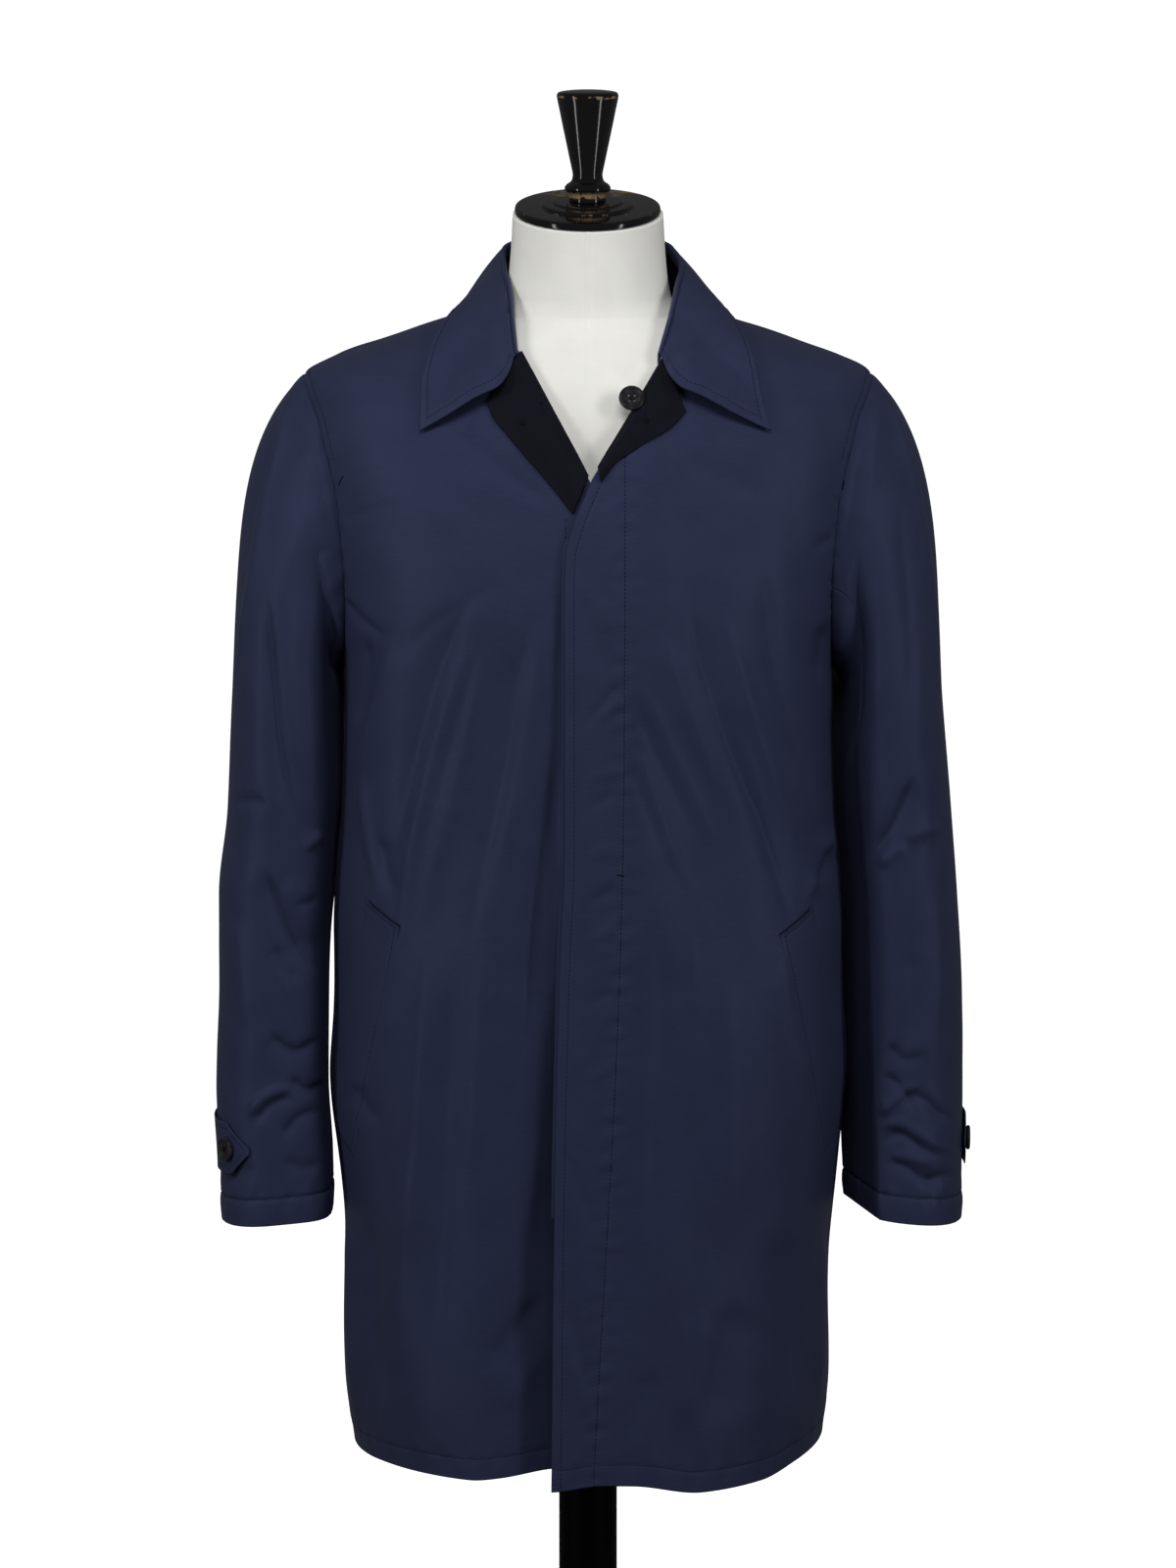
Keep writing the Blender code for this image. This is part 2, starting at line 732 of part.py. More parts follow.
def front_panel(name, side, hole):
    panel = "left" if side > 0 else "right"
    edge = EDGE_L if side > 0 else EDGE_R
    roll_x, roll_z = LEFT_ROLL_TOP if side > 0 else RIGHT_ROLL_TOP
    skirt_z = np.linspace(HEM_Z, ARMPIT_Z, SKIRT_ROWS + 1)
    edge_top = edge.t[-1]
    edge_z = np.linspace(ARMPIT_Z, edge_top, EDGE_ROWS + 1)[1:]
    low_z = np.concatenate([skirt_z, edge_z])
    low_x = edge.at(low_z)[:, 0]
    share = np.linspace(0, 1, ROLL_ROWS + 1)[1:]
    roll_xs = low_x[-1] + (roll_x - low_x[-1]) * share
    roll_zs = edge_top + (roll_z - edge_top) * share
    end_z = np.concatenate([low_z, roll_zs])
    end_x = np.concatenate([low_x, roll_xs])
    end_a = front_angle(end_x, end_z)
    share = np.linspace(0, 1, NECK_ROWS + 1)[1:]
    end_a = np.concatenate([end_a, end_a[-1] + (math.pi / 2 - end_a[-1]) * share])
    end_z = np.concatenate([end_z, roll_z + (NECK_POINT_Z - roll_z) * neck_rise(share)])
    seam_a = np.concatenate([np.full(SKIRT_ROWS, math.pi / 2), np.abs(hole.angle[:ARM_ROWS + 1])])
    seam_z = np.concatenate([skirt_z[:-1], hole.z[:ARM_ROWS + 1]])
    s = np.linspace(0, 1, FRONT_COLS)
    angle = side * (end_a[:, None] + (seam_a - end_a)[:, None] * s)
    z = end_z[:, None] + (seam_z - end_z)[:, None] * s
    hem_x = side * section_point(BODY, angle[0], z[0])[:, 0]
    hem = Profile(HEM_LEFT if side > 0 else HEM_RIGHT).at(hem_x)[:, 0]
    z = z + hem_share()[:, None] * (hem - HEM_Z)
    points = body_surface(angle, z, panel)
    normals = body_normal(angle, z, panel)
    arm = slice(SKIRT_ROWS, SKIRT_ROWS + ARM_ROWS + 1)
    points[arm, -1] = hole.point[:ARM_ROWS + 1] - hole.mitre[:ARM_ROWS + 1] * HALF_GAP
    normals[arm, -1] = hole.normal[:ARM_ROWS + 1]
    pull_in(points[:SKIRT_ROWS + 1], "last_col", HALF_GAP)
    pull_in(points, "last_row", HALF_GAP)
    add_wall(name, points, normals, WALL, "shell_cloth")


def hem_share():
    """How much each row follows the hem: all at the hem, none from the armpit up."""
    return np.clip(1 - np.arange(SKIRT_ROWS + ARM_ROWS + 1) / SKIRT_ROWS, 0, 1)


def back_panel(name, hole_l, hole_r):
    skirt_z = np.linspace(HEM_Z, ARMPIT_Z, SKIRT_ROWS + 1)
    order = [0] + list(range(2 * ARM_ROWS - 1, ARM_ROWS - 1, -1))
    left_a = np.concatenate([np.full(SKIRT_ROWS, math.pi / 2), hole_l.angle[order]])
    left_z = np.concatenate([skirt_z[:-1], hole_l.z[order]])
    top_cols = BACK_COLS - 2 * NECK_ROWS
    seam = np.linspace(0, 1, NECK_ROWS + 1)
    top_a = np.concatenate([
        np.full(NECK_ROWS, math.pi / 2),
        np.linspace(math.pi / 2, 3 * math.pi / 2, top_cols),
        np.full(NECK_ROWS, 3 * math.pi / 2)])
    rise = TIP_Z + (NECK_POINT_Z - TIP_Z) * seam
    top_z = np.concatenate([rise[:-1], np.full(top_cols, NECK_POINT_Z), rise[:-1][::-1]])
    plain = np.linspace(0, 1, BACK_COLS)
    rows = SKIRT_ROWS + ARM_ROWS + 1
    fan = np.clip((np.arange(rows) - SKIRT_ROWS) / ARM_ROWS, 0, 1) ** BACK_FAN_POWER
    part = plain + (top_a / math.pi - 0.5 - plain) * fan[:, None]
    angle = left_a[:, None] + (2 * math.pi - 2 * left_a)[:, None] * part
    lift = (top_z - TIP_Z)[None, :] * fan[:, None]
    even_z = np.concatenate([skirt_z[:-1], np.linspace(ARMPIT_Z, TIP_Z, ARM_ROWS + 1)])
    inside = 1 - np.abs(2 * plain - 1) ** BACK_FAN_POWER
    z = left_z[:, None] + (even_z - left_z)[:, None] * inside + lift
    z = z + hem_share()[:, None] * (Profile(HEM_BACK).at(plain)[:, 0] - HEM_Z)
    points = body_surface(angle, z, "back")
    normals = body_normal(angle, z, "back")
    arm = slice(SKIRT_ROWS, rows)
    pull_in(points[:SKIRT_ROWS], "first_col", HALF_GAP)
    pull_in(points[:SKIRT_ROWS], "last_col", HALF_GAP)
    for col, hole in ((0, hole_l), (-1, hole_r)):
        points[arm, col] = hole.point[order] - hole.mitre[order] * HALF_GAP
        normals[arm, col] = hole.normal[order]
    pull_in(points, "last_row", HALF_GAP)
    add_wall(name, points, normals, WALL, "shell_cloth")


class Sleeve:
    """Rings of one sleeve, inner side first, round by the front."""

    def __init__(self, side, table, hole):
        self.side = side
        self.rings = Profile(table)
        self.low = self.rings.t[0]
        self.high = self.rings.t[-1]
        count = 2 * ARM_ROWS
        turn = np.arange(count) * 2 * math.pi / count
        head = self.ring(turn, np.full(count, self.high))
        start = hole.point + hole.mitre * HALF_GAP
        reach = np.linalg.norm(head - start, axis=-1, keepdims=True)
        leave = hole.leave * reach * CAP_START_PULL
        down = self.ring(turn, np.full(count, self.high - HEAD_STEP)) - head
        arrive = unit(down) * reach * CAP_PULL
        rows = [start]
        for t in np.linspace(0, 1, CAP_ROWS + 1)[1:]:
            h00 = (1 + 2 * t) * (1 - t) ** 2
            h10 = t * (1 - t) ** 2
            h01 = t * t * (3 - 2 * t)
            h11 = t * t * (t - 1)
            rows.append(h00 * start + h10 * leave + h01 * head + h11 * arrive)
        for z in np.linspace(self.high, self.low, ARM_RINGS + 1)[1:]:
            rows.append(self.ring(turn, np.full(count, z)))
        self.points = np.array(rows)
        around = np.roll(self.points, -1, axis=1) - np.roll(self.points, 1, axis=1)
        along = np.gradient(self.points, axis=0)
        self.normals = unit(np.cross(around, along)) * -side
        self.normals[0] = hole.normal

    def ring(self, turn, z):
        """Point of the sleeve at an angle from its inner side, by the front."""
        inner, outer, middle_y, half_d = np.moveaxis(self.rings.at(z), -1, 0)
        half_w = (outer - inner) / 2
        across = np.cos(turn)
        ahead = np.sin(turn)
        size = (np.abs(across / half_w) ** SLEEVE_SQUARE + np.abs(ahead / half_d) ** SLEEVE_SQUARE)
        size = size ** (-1 / SLEEVE_SQUARE)
        dent = np.zeros_like(turn)
        for height, half, depth, middle, half_angle in SLEEVE_FOLDS:
            swing = np.degrees(turn) - middle
            dent = dent + depth * np.exp(-(((z - height) / half) ** 2) - (swing / half_angle) ** 2)
        size = size - dent
        x = (inner + outer) / 2 - size * across
        y = middle_y - size * ahead
        x = x - SLEEVE_SKEW * smooth_step(SKEW_Z[0], SKEW_Z[1], z) * (y - middle_y)
        share = smooth_step(self.low + CUFF_TILT_FROM, self.low, z)
        tilt = CUFF_TILT * share * (x - inner)
        return np.stack([self.side * x, y, z - tilt], axis=-1)

    def add(self, name, first, last):
        cols = np.arange(first, last + 1) % (2 * ARM_ROWS)
        points = self.points[:, cols].copy()
        pull_in(points, "first_col", HALF_GAP)
        pull_in(points, "last_col", HALF_GAP)
        add_wall(name, points, self.normals[:, cols], WALL, "shell_cloth")


def tab_on_sleeve(name, sleeve, ends):
    """Pointed tab lying on the sleeve, and the place of its button."""
    point_a, sewn_a = (math.radians(v) for v in ends)
    s = np.linspace(0, 1, TAB_COLS)
    taper = TAB_HALF * (TAB_BLUNT + (1 - TAB_BLUNT) * np.clip(s / TAB_POINT, 0, 1))
    across = np.linspace(-1, 1, TAB_ROWS)
    turn = (point_a + (sewn_a - point_a) * s)[None, :] + 0 * across[:, None]
    z = TAB_Z + across[:, None] * taper[None, :]
    points = sleeve.ring(turn, z)
    normals = grid_normals(points)
    facing = points - sleeve_middle(sleeve, z)
    normals = normals * np.sign((normals * facing).sum(axis=-1, keepdims=True))
    lift = WALL / 2 + SEAM_GAP + THIN_WALL / 2 + FACET_ROOM
    add_wall(name, points + normals * lift, normals, THIN_WALL, "shell_cloth")
    middle = TAB_ROWS // 2
    facing = normals[middle, TAB_BUTTON_COL]
    off = lift + THIN_WALL / 2 + SEAM_GAP + FACET_ROOM / 2
    return points[middle, TAB_BUTTON_COL] + facing * off, facing


def sleeve_middle(sleeve, z):
    inner, outer, middle_y, _ = np.moveaxis(sleeve.rings.at(z), -1, 0)
    return np.stack([sleeve.side * (inner + outer) / 2, middle_y, z], axis=-1)


def add_button(name, at, facing, size):
    radius, thick = size
    rings = turned([(r * radius, h * thick) for r, h in BUTTON_SHAPE], BUTTON_SEGMENTS)
    facing = facing / np.linalg.norm(facing)
    side = np.cross((0.0, 0.0, 1.0), facing)
    side = side / np.linalg.norm(side)
    frame = np.stack([side, np.cross(facing, side), facing], axis=-1)
    add_rings(name, rings @ frame.T + at, "button_resin")


def collar_way(count):
    """Shares from the right end round the middle back to the left end, with side signs."""
    way = np.linspace(-1, 1, count)
    return 1 - np.abs(way), np.where(way < 0, -1.0, 1.0)


def collar_fold(share, sign):
    fold = Profile(COLLAR_FOLD).at(share)
    fold[:, 0] = fold[:, 0] * sign + Profile(COLLAR_SHIFT).at(share)[:, 0]
    return fold


def collar_pieces():
    share, sign = collar_way(COLLAR_COLS)
    fold = collar_fold(share, sign)
    edge_all = Profile(COLLAR_EDGE).at(share)
    edge = edge_all[:, 1:].copy()
    edge[:, 0] = np.where(sign < 0, -edge_all[:, 0], edge_all[:, 1])
    t = np.linspace(0, 1, COLLAR_ROWS)[:, None, None]
    fall = fold[None] + (edge - fold)[None] * t
    outward = unit(fold * LEVEL)
    arch = 4 * t * (1 - t)
    fall = fall + (outward[None] + UP * COLLAR_ROLL_UP) * arch * Profile(COLLAR_ROLL).at(share)[None]
    end = Profile(COLLAR_END).at(np.linspace(0, 1, COLLAR_ROWS))
    for col, side in ((0, -1.0), (-1, 1.0)):
        stretch = np.abs(edge[col, 0]) / COLLAR_END[-1][1]
        x = side * (end[:, 0] * (1 + (stretch - 1) * np.linspace(0, 1, COLLAR_ROWS)))
        angle = front_angle(x, end[:, 1])
        want = section_point(BODY, angle, end[:, 1])
        want[0] = fold[col]
        shift = want - fall[:, col]
        near = np.clip(1 - share / COLLAR_END_REACH, 0, 1) ** 2 * (sign == side)
        fall = fall + shift[:, None, :] * near[None, :, None]
    fall = lift_off_body(fall, COLLAR_LIFT)
    fall_n = grid_normals(fall)
    fall_n *= np.sign(fall_n[COLLAR_ROWS // 2, COLLAR_COLS // 2, 1])
    share = COLLAR_STAND_FROM + (1 - COLLAR_STAND_FROM) * share
    fold = collar_fold(share, sign)
    neck_a, neck_z = neckline(share, sign)
    foot = section_point(BODY, neck_a, neck_z)
    t = np.linspace(0, 1, STAND_ROWS)[:, None, None]
    foot_up = foot - unit(foot * LEVEL) * STAND_INSET + UP * STAND_RISE
    head = fold - UP * STAND_DROP
    stand = foot_up[None] + (head - foot_up)[None] * t
    stand_n = grid_normals(stand)
    stand_n *= np.sign((stand_n[1, COLLAR_COLS // 2] * np.array([0.0, 1.0, 0.0])).sum())
    return fall, fall_n, stand, stand_n


def neck_rise(share):
    """The neck seam climbs steeply from the roll top, then eases to the shoulder."""
    return np.sin(np.clip(share, 0, 1) * math.pi / 2) ** NECK_RISE_POWER


def neckline(share, sign):
    """Neck seam from the roll top to the shoulder, then round the back."""
    roll = np.where(sign < 0, RIGHT_ROLL_TOP[1], LEFT_ROLL_TOP[1])
    roll_x = np.where(sign < 0, RIGHT_ROLL_TOP[0], LEFT_ROLL_TOP[0])
    start = front_angle(roll_x, roll)
    ahead = np.clip(share / COLLAR_SHOULDER, 0, 1)
    behind = np.clip((share - COLLAR_SHOULDER) / (1 - COLLAR_SHOULDER), 0, 1)
    angle = start + (math.pi / 2 - start) * ahead + math.pi / 2 * behind
    z = roll + (NECK_POINT_Z - roll) * neck_rise(ahead)
    return sign * angle, z


def revers(name, side, table):
    rows = np.array(table)
    edge = EDGE_L if side > 0 else EDGE_R
    top_x, top_z = LEFT_ROLL_TOP if side > 0 else RIGHT_ROLL_TOP
    low_x, low_z = edge.v[-1, 0], edge.t[-1]
    s = np.linspace(0, 1, REVERS_COLS)
    roll_x = top_x + (low_x - top_x) * rows[:, 0:1]
    roll_z = top_z + (low_z - top_z) * rows[:, 0:1]
    x = side * (roll_x + (rows[:, 1:2] - roll_x) * s)
    z = roll_z + (rows[:, 2:3] - roll_z) * s
    panel = "left" if side > 0 else "right"
    angle = front_angle(x, z)
    normals = body_normal(angle, z, panel)
    lift = WALL / 2 + SEAM_GAP + THIN_WALL / 2 + FACET_ROOM / 2
    points = body_surface(angle, z, panel) + normals * lift
    add_wall(name, points, normals, THIN_WALL, "inner_cloth")
    return points, normals


def fly_underlay(name):
    z_rows = np.linspace(UNDERLAY_Z[0], UNDERLAY_Z[1], UNDERLAY_ROWS)
    s = np.linspace(0, 1, 3)
    edge = EDGE_L.at(z_rows)[:, 0]
    x = (edge - UNDERLAY_OUT)[:, None] + (UNDERLAY_WIDTH + UNDERLAY_OUT) * s
    z = z_rows[:, None] + 0 * s
    angle = front_angle(x, z)
    normals = body_normal(angle, z, "left")
    drop = WALL / 2 + SEAM_GAP + THIN_WALL / 2 + FACET_ROOM
    points = body_surface(angle, z, "left") - normals * drop
    add_wall(name, points, normals, THIN_WALL, "shell_cloth")


def welt(name, side, ends):
    top_x, top_z, low_x, low_z = ends
    t = np.linspace(0, 1, WELT_ROWS)[:, None]
    s = np.linspace(0, 1, WELT_COLS)[None, :]
    x = side * (top_x + (low_x - top_x) * t)
    z = top_z + (low_z - top_z) * t + 0 * s
    start = front_angle(x + 0 * s, z)
    radius = np.linalg.norm(section_point(BODY, start, z)[..., :2], axis=-1)
    angle = start + side * s * WELT_WIDTH / radius
    z = z + WELT_RISE * s
    panel = "left" if side > 0 else "right"
    normals = body_normal(angle, z, panel)
    lift = WALL / 2 + SEAM_GAP + THIN_WALL / 2 + FACET_ROOM
    points = body_surface(angle, z, panel) + normals * lift
    add_wall(name, points, normals, THIN_WALL, "shell_cloth")


def bust():
    z_rows = np.linspace(BUST.t[0], BUST.t[-1], BUST_RINGS)
    angles = np.arange(BUST_SEGMENTS) * 2 * math.pi / BUST_SEGMENTS
    rings = []
    for z in z_rows:
        ring = section_point(BUST, angles, np.full(BUST_SEGMENTS, z))
        share = smooth_step(NECK_TILT_FROM, BUST.t[-1], z)
        ring[:, 2] += ring[:, 1] * NECK_TILT * share
        ring[:, 2] -= SHOULDER_DROP * (1 - share)
        rings.append(ring)
    add_rings("bust", rings, "form_canvas")


def stand():
    cap = turned(CAP_PROFILE, TURN_SEGMENTS)
    cap[..., 2] += CAP_Z + cap[..., 1] * NECK_TILT
    cap[..., 0] += CAP_SHIFT_X
    add_rings("neck_cap", cap, "black_lacquer")
    knob = turned(KNOB_PROFILE, TURN_SEGMENTS)
    knob[0, :, 2] += knob[0, :, 1] * NECK_TILT
    knob[..., 0] += CAP_SHIFT_X
    add_rings("knob", knob, "black_lacquer")
    base = turned(BASE_PROFILE, STAND_SEGMENTS)
    add_rings("base", base, "stand_metal")
    post_low = BASE_TOP_Z + SEAM_GAP
    post_high = BUST.t[0] - SHOULDER_DROP - SEAM_GAP
    post = turned([(POST_RADIUS, post_low), (POST_RADIUS, post_high)], TURN_SEGMENTS)
    add_rings("post", post, "stand_metal")


def build():
    clear_scene()
    hole_l = Armhole(1)
    hole_r = Armhole(-1)
    front_panel("front_R", -1, hole_r)
    front_panel("front_L", 1, hole_l)
    fly_underlay("fly_underlay")
    back_panel("back", hole_l, hole_r)
    sleeve_r = Sleeve(-1, SLEEVE_R, hole_r)
    sleeve_l = Sleeve(1, SLEEVE_L, hole_l)
    for mark, sleeve, seam in (("R", sleeve_r, SEAM_COL_FRONT_R), ("L", sleeve_l, SEAM_COL_FRONT_L)):
        sleeve.add("sleeve_top_" + mark, seam, SEAM_COL_BACK)
        sleeve.add("sleeve_under_" + mark, SEAM_COL_BACK, seam + 2 * ARM_ROWS)
    fall, fall_n, foot, foot_n = collar_pieces()
    add_wall("collar_fall", fall, fall_n, WALL, "shell_cloth")
    add_wall("collar_stand", foot, foot_n, WALL, "shell_cloth")
    revers("revers_R", -1, REVERS_R)
    points, normals = revers("revers_L", 1, REVERS_L)
    welt("pocket_welt_R", -1, WELT_R)
    welt("pocket_welt_L", 1, WELT_L)
    for mark, sleeve, ends in (("R", sleeve_r, TAB_R), ("L", sleeve_l, TAB_L)):
        at, facing = tab_on_sleeve("cuff_tab_" + mark, sleeve, ends)
        add_button("cuff_button_" + mark, at, facing, CUFF_BUTTON)
    x, z = NECK_BUTTON_AT
    angle = front_angle(np.array([x]), np.array([z]))
    facing = normals[NECK_BUTTON_ROW, 0]
    at = body_surface(angle, np.array([z]), "left")[0]
    at = at + facing * (WALL / 2 + THIN_WALL + NECK_BUTTON_OFF)
    add_button("neck_button", at, facing, NECK_BUTTON)
    bust()
    stand()


build()
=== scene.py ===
# %% [markdown]
# # A car coat on a dress form
# The coat is thin cloth worn by a limbless form, so nearly everything here is a sheet: a grid of
# points made a millimetre or so thick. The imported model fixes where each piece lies. This script
# draws the same pieces finely, adds the creases, seams and stitches, and gives each its finish.

# %% Frame
import math

import bmesh
import bpy
import numpy as np
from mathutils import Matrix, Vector


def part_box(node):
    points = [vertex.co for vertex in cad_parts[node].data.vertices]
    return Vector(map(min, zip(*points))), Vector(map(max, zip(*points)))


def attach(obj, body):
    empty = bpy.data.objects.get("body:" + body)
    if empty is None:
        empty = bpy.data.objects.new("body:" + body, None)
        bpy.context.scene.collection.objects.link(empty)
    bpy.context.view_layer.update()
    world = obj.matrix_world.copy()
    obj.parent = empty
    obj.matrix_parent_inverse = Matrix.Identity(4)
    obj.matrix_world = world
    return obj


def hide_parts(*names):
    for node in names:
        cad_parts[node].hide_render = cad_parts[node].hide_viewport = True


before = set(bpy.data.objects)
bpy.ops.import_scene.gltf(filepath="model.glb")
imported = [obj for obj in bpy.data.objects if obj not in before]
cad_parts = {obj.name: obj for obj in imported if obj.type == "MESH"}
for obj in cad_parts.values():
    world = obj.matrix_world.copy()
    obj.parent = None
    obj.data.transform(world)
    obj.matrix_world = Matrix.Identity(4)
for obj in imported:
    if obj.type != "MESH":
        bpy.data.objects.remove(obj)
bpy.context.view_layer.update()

print("pieces in the frame:", len(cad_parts))

# %% [markdown]
# The camera stands five metres off and looks down about ten degrees with a long lens. The same
# numbers tell where a point of the coat shows in the picture, so a crease can be drawn on the cloth
# by the place where it is seen.

# %% Camera
PICTURE_W = 1200
PICTURE_H = 1600
FOCUS = 6410.0
EYE = np.array([0.0, -4.93, 1.959])
LOOK_DOWN = math.radians(9.7)
SENSOR = 36.0

camera_data = bpy.data.cameras.new("camera")
camera_data.sensor_fit = "VERTICAL"
camera_data.sensor_height = SENSOR
camera_data.lens = FOCUS / PICTURE_H * SENSOR
camera = bpy.data.objects.new("camera", camera_data)
camera.location = EYE
camera.rotation_euler = (math.pi / 2 - LOOK_DOWN, 0.0, 0.0)
bpy.context.scene.collection.objects.link(camera)
bpy.context.scene.camera = camera


def seen(points):
    """Where points show in the picture, in pixels from its top left corner."""
    off = points - EYE
    ahead = off[..., 1] * math.cos(LOOK_DOWN) - off[..., 2] * math.sin(LOOK_DOWN)
    up = off[..., 1] * math.sin(LOOK_DOWN) + off[..., 2] * math.cos(LOOK_DOWN)
    across = PICTURE_W / 2 + FOCUS * off[..., 0] / ahead
    return np.stack([across, PICTURE_H / 2 - FOCUS * up / ahead], axis=-1)


def seen_behind(points):
    """The same for an eye at the same distance behind the coat."""
    return seen(points * np.array([-1.0, -1.0, 1.0]))


print("lens", round(camera_data.lens, 1), "mm")

# %% [markdown]
# Materials are written as sums. `Tone` wraps one socket, so `1 - mask * 0.5` adds the Math nodes
# by itself. `Finish` is one material: its shader, and a method that adds any other node.

# %% Node expressions


class Tone:
    """A number that changes over a surface."""

    def __init__(self, finish, socket):
        self.finish = finish
        self.socket = socket

    def math(self, operation, *values):
        return self.finish.node("ShaderNodeMath", {"operation": operation}, dict(enumerate(values)))

    def __add__(self, other):
        return self.math("ADD", self, other)

    def __radd__(self, other):
        return self.math("ADD", other, self)

    def __sub__(self, other):
        return self.math("SUBTRACT", self, other)

    def __rsub__(self, other):
        return self.math("SUBTRACT", other, self)

    def __mul__(self, other):
        return self.math("MULTIPLY", self, other)

    def __rmul__(self, other):
        return self.math("MULTIPLY", other, self)

    def between(self, low, high):
        """0 below low, 1 above high, smooth between; reversed when low is the larger."""
        settings = {"interpolation_type": "SMOOTHSTEP"}
        ends = {"From Min": low, "From Max": high}
        if low > high:
            ends = {"From Min": high, "From Max": low, "To Min": 1.0, "To Max": 0.0}
        return self.finish.node("ShaderNodeMapRange", settings, {"Value": self, **ends})


class Finish:
    """One material and the nodes that feed its shader."""

    def __init__(self, name, **fixed):
        self.material = bpy.data.materials.new(name)
        self.material.use_nodes = True
        self.tree = self.material.node_tree
        self.shader = self.tree.nodes["Principled BSDF"]
        self.wire(self.shader, {key.replace("_", " "): value for key, value in fixed.items()})

    def wire(self, node, sockets):
        for key, value in sockets.items():
            if isinstance(value, Tone):
                self.tree.links.new(value.socket, node.inputs[key])
            else:
                node.inputs[key].default_value = value

    def node(self, kind, settings=None, sockets=None, out=0):
        made = self.tree.nodes.new(kind)
        for key, value in (settings or {}).items():
            setattr(made, key, value)
        self.wire(made, sockets or {})
        return Tone(self, made.outputs[out])

    def object_place(self):
        return self.node("ShaderNodeTexCoord", out=3)

    def cloth_place(self):
        return self.node("ShaderNodeUVMap", {"uv_map": "cloth"})

    def stretched(self, place, scale):
        return self.node("ShaderNodeMapping", None, {"Vector": place, "Scale": scale})

    def axis(self, place, index):
        return self.node("ShaderNodeSeparateXYZ", None, {0: place}, out=index)

    def noise(self, place, scale, detail=2.0):
        return self.node("ShaderNodeTexNoise", None, {"Vector": place, "Scale": scale, "Detail": detail})

    def bands(self, place, direction, period):
        settings = {"wave_type": "BANDS", "bands_direction": direction}
        return self.node("ShaderNodeTexWave", settings, {"Vector": place, "Scale": math.pi / 10 / period})

    def blend(self, factor, first, second):
        settings = {"data_type": "RGBA"}
        return self.node("ShaderNodeMix", settings, {0: factor, 6: first, 7: second}, out=2)

    def use(self, **sockets):
        self.wire(self.shader, {key.replace("_", " "): value for key, value in sockets.items()})

    def relief(self, height, strength, depth):
        sockets = {"Height": height, "Strength": strength, "Distance": depth}
        self.use(Normal=self.node("ShaderNodeBump", None, sockets))


print("a finish is one material with its nodes")


# %% [markdown]
# The outer cloth is a close, smooth navy weave with a slight satin sheen. Up close it has threads
# both ways and faint slubs that run along them; from across a room only a soft unevenness is left.
# The cloth of the inner side is nearly black and more matt.

# %% Cloth finishes
WEAVE_PERIOD = 0.0009
SLUB_ALONG = (90.0, 900.0, 1.0)


def woven(name, dark, light, rough, sheen, tint, shine):
    finish = Finish(name, Sheen_Weight=sheen, Sheen_Roughness=0.35, Sheen_Tint=tint, Specular_Tint=tint,
                    Specular_IOR_Level=shine)
    place = finish.cloth_place()
    slubs = finish.noise(finish.stretched(place, SLUB_ALONG), 1.0)
    clouds = finish.noise(place, 26.0, 3.0)
    threads = finish.bands(place, "X", WEAVE_PERIOD) + finish.bands(place, "Y", WEAVE_PERIOD)
    shade = slubs.between(0.3, 0.7) * 0.55 + clouds.between(0.3, 0.7) * 0.45
    finish.use(Base_Color=finish.blend(shade, dark, light))
    finish.use(Roughness=rough + clouds.between(0.3, 0.7) * 0.06 - slubs * 0.04)
    finish.relief(threads * 0.5 + slubs * 1.2, 0.22, 0.00025)
    return finish.material


SHELL = woven("shell_cloth_finish", (0.0210, 0.0250, 0.0545, 1), (0.0250, 0.0298, 0.0635, 1),
              0.38, 0.03, (0.44, 0.50, 0.95, 1), 0.32)
LINING = woven("inner_cloth_finish", (0.0060, 0.0060, 0.0095, 1), (0.0080, 0.0080, 0.0125, 1),
               0.62, 0.03, (0.5, 0.5, 0.65, 1), 0.15)
THREAD = Finish("thread_finish", Base_Color=(0.0055, 0.0062, 0.0145, 1), Roughness=0.6,
                Specular_IOR_Level=0.25)
# Dark thread for the holes, tacks and button sewing; it also paints the shadow in the pocket mouths.
DARK_THREAD_AND_SHADOW = Finish("dark_thread_and_shadow_finish", Base_Color=(0.005, 0.005, 0.008, 1), Roughness=0.6,
                     Specular_IOR_Level=0.2)
for finish in (THREAD, DARK_THREAD_AND_SHADOW):
    twist = finish.bands(finish.stretched(finish.object_place(), (1.0, 1.0, 0.6)), "DIAGONAL", 0.0006)
    finish.relief(twist, 0.4, 0.0002)
print("cloth finishes:", SHELL.name, LINING.name)

# %% [markdown]
# The form is covered with plain off-white canvas. Its cap and knob are turned wood under black
# lacquer, rubbed through at the edges. The stand is painted steel, and the buttons are black resin.

# %% Form, stand and button finishes
CANVAS = Finish("canvas_finish", Specular_IOR_Level=0.2, Sheen_Weight=0.05)
place = CANVAS.object_place()
fibres = CANVAS.bands(place, "X", 0.0011) + CANVAS.bands(place, "Z", 0.0011)
soil = CANVAS.noise(place, 22.0, 4.0)
CANVAS.use(Base_Color=CANVAS.blend(soil.between(0.25, 0.8), (0.74, 0.735, 0.70, 1), (0.67, 0.665, 0.63, 1)))
CANVAS.use(Roughness=0.82 + soil * 0.1)
CANVAS.relief(fibres * 0.4 + CANVAS.noise(place, 900.0) * 0.8, 0.25, 0.0003)

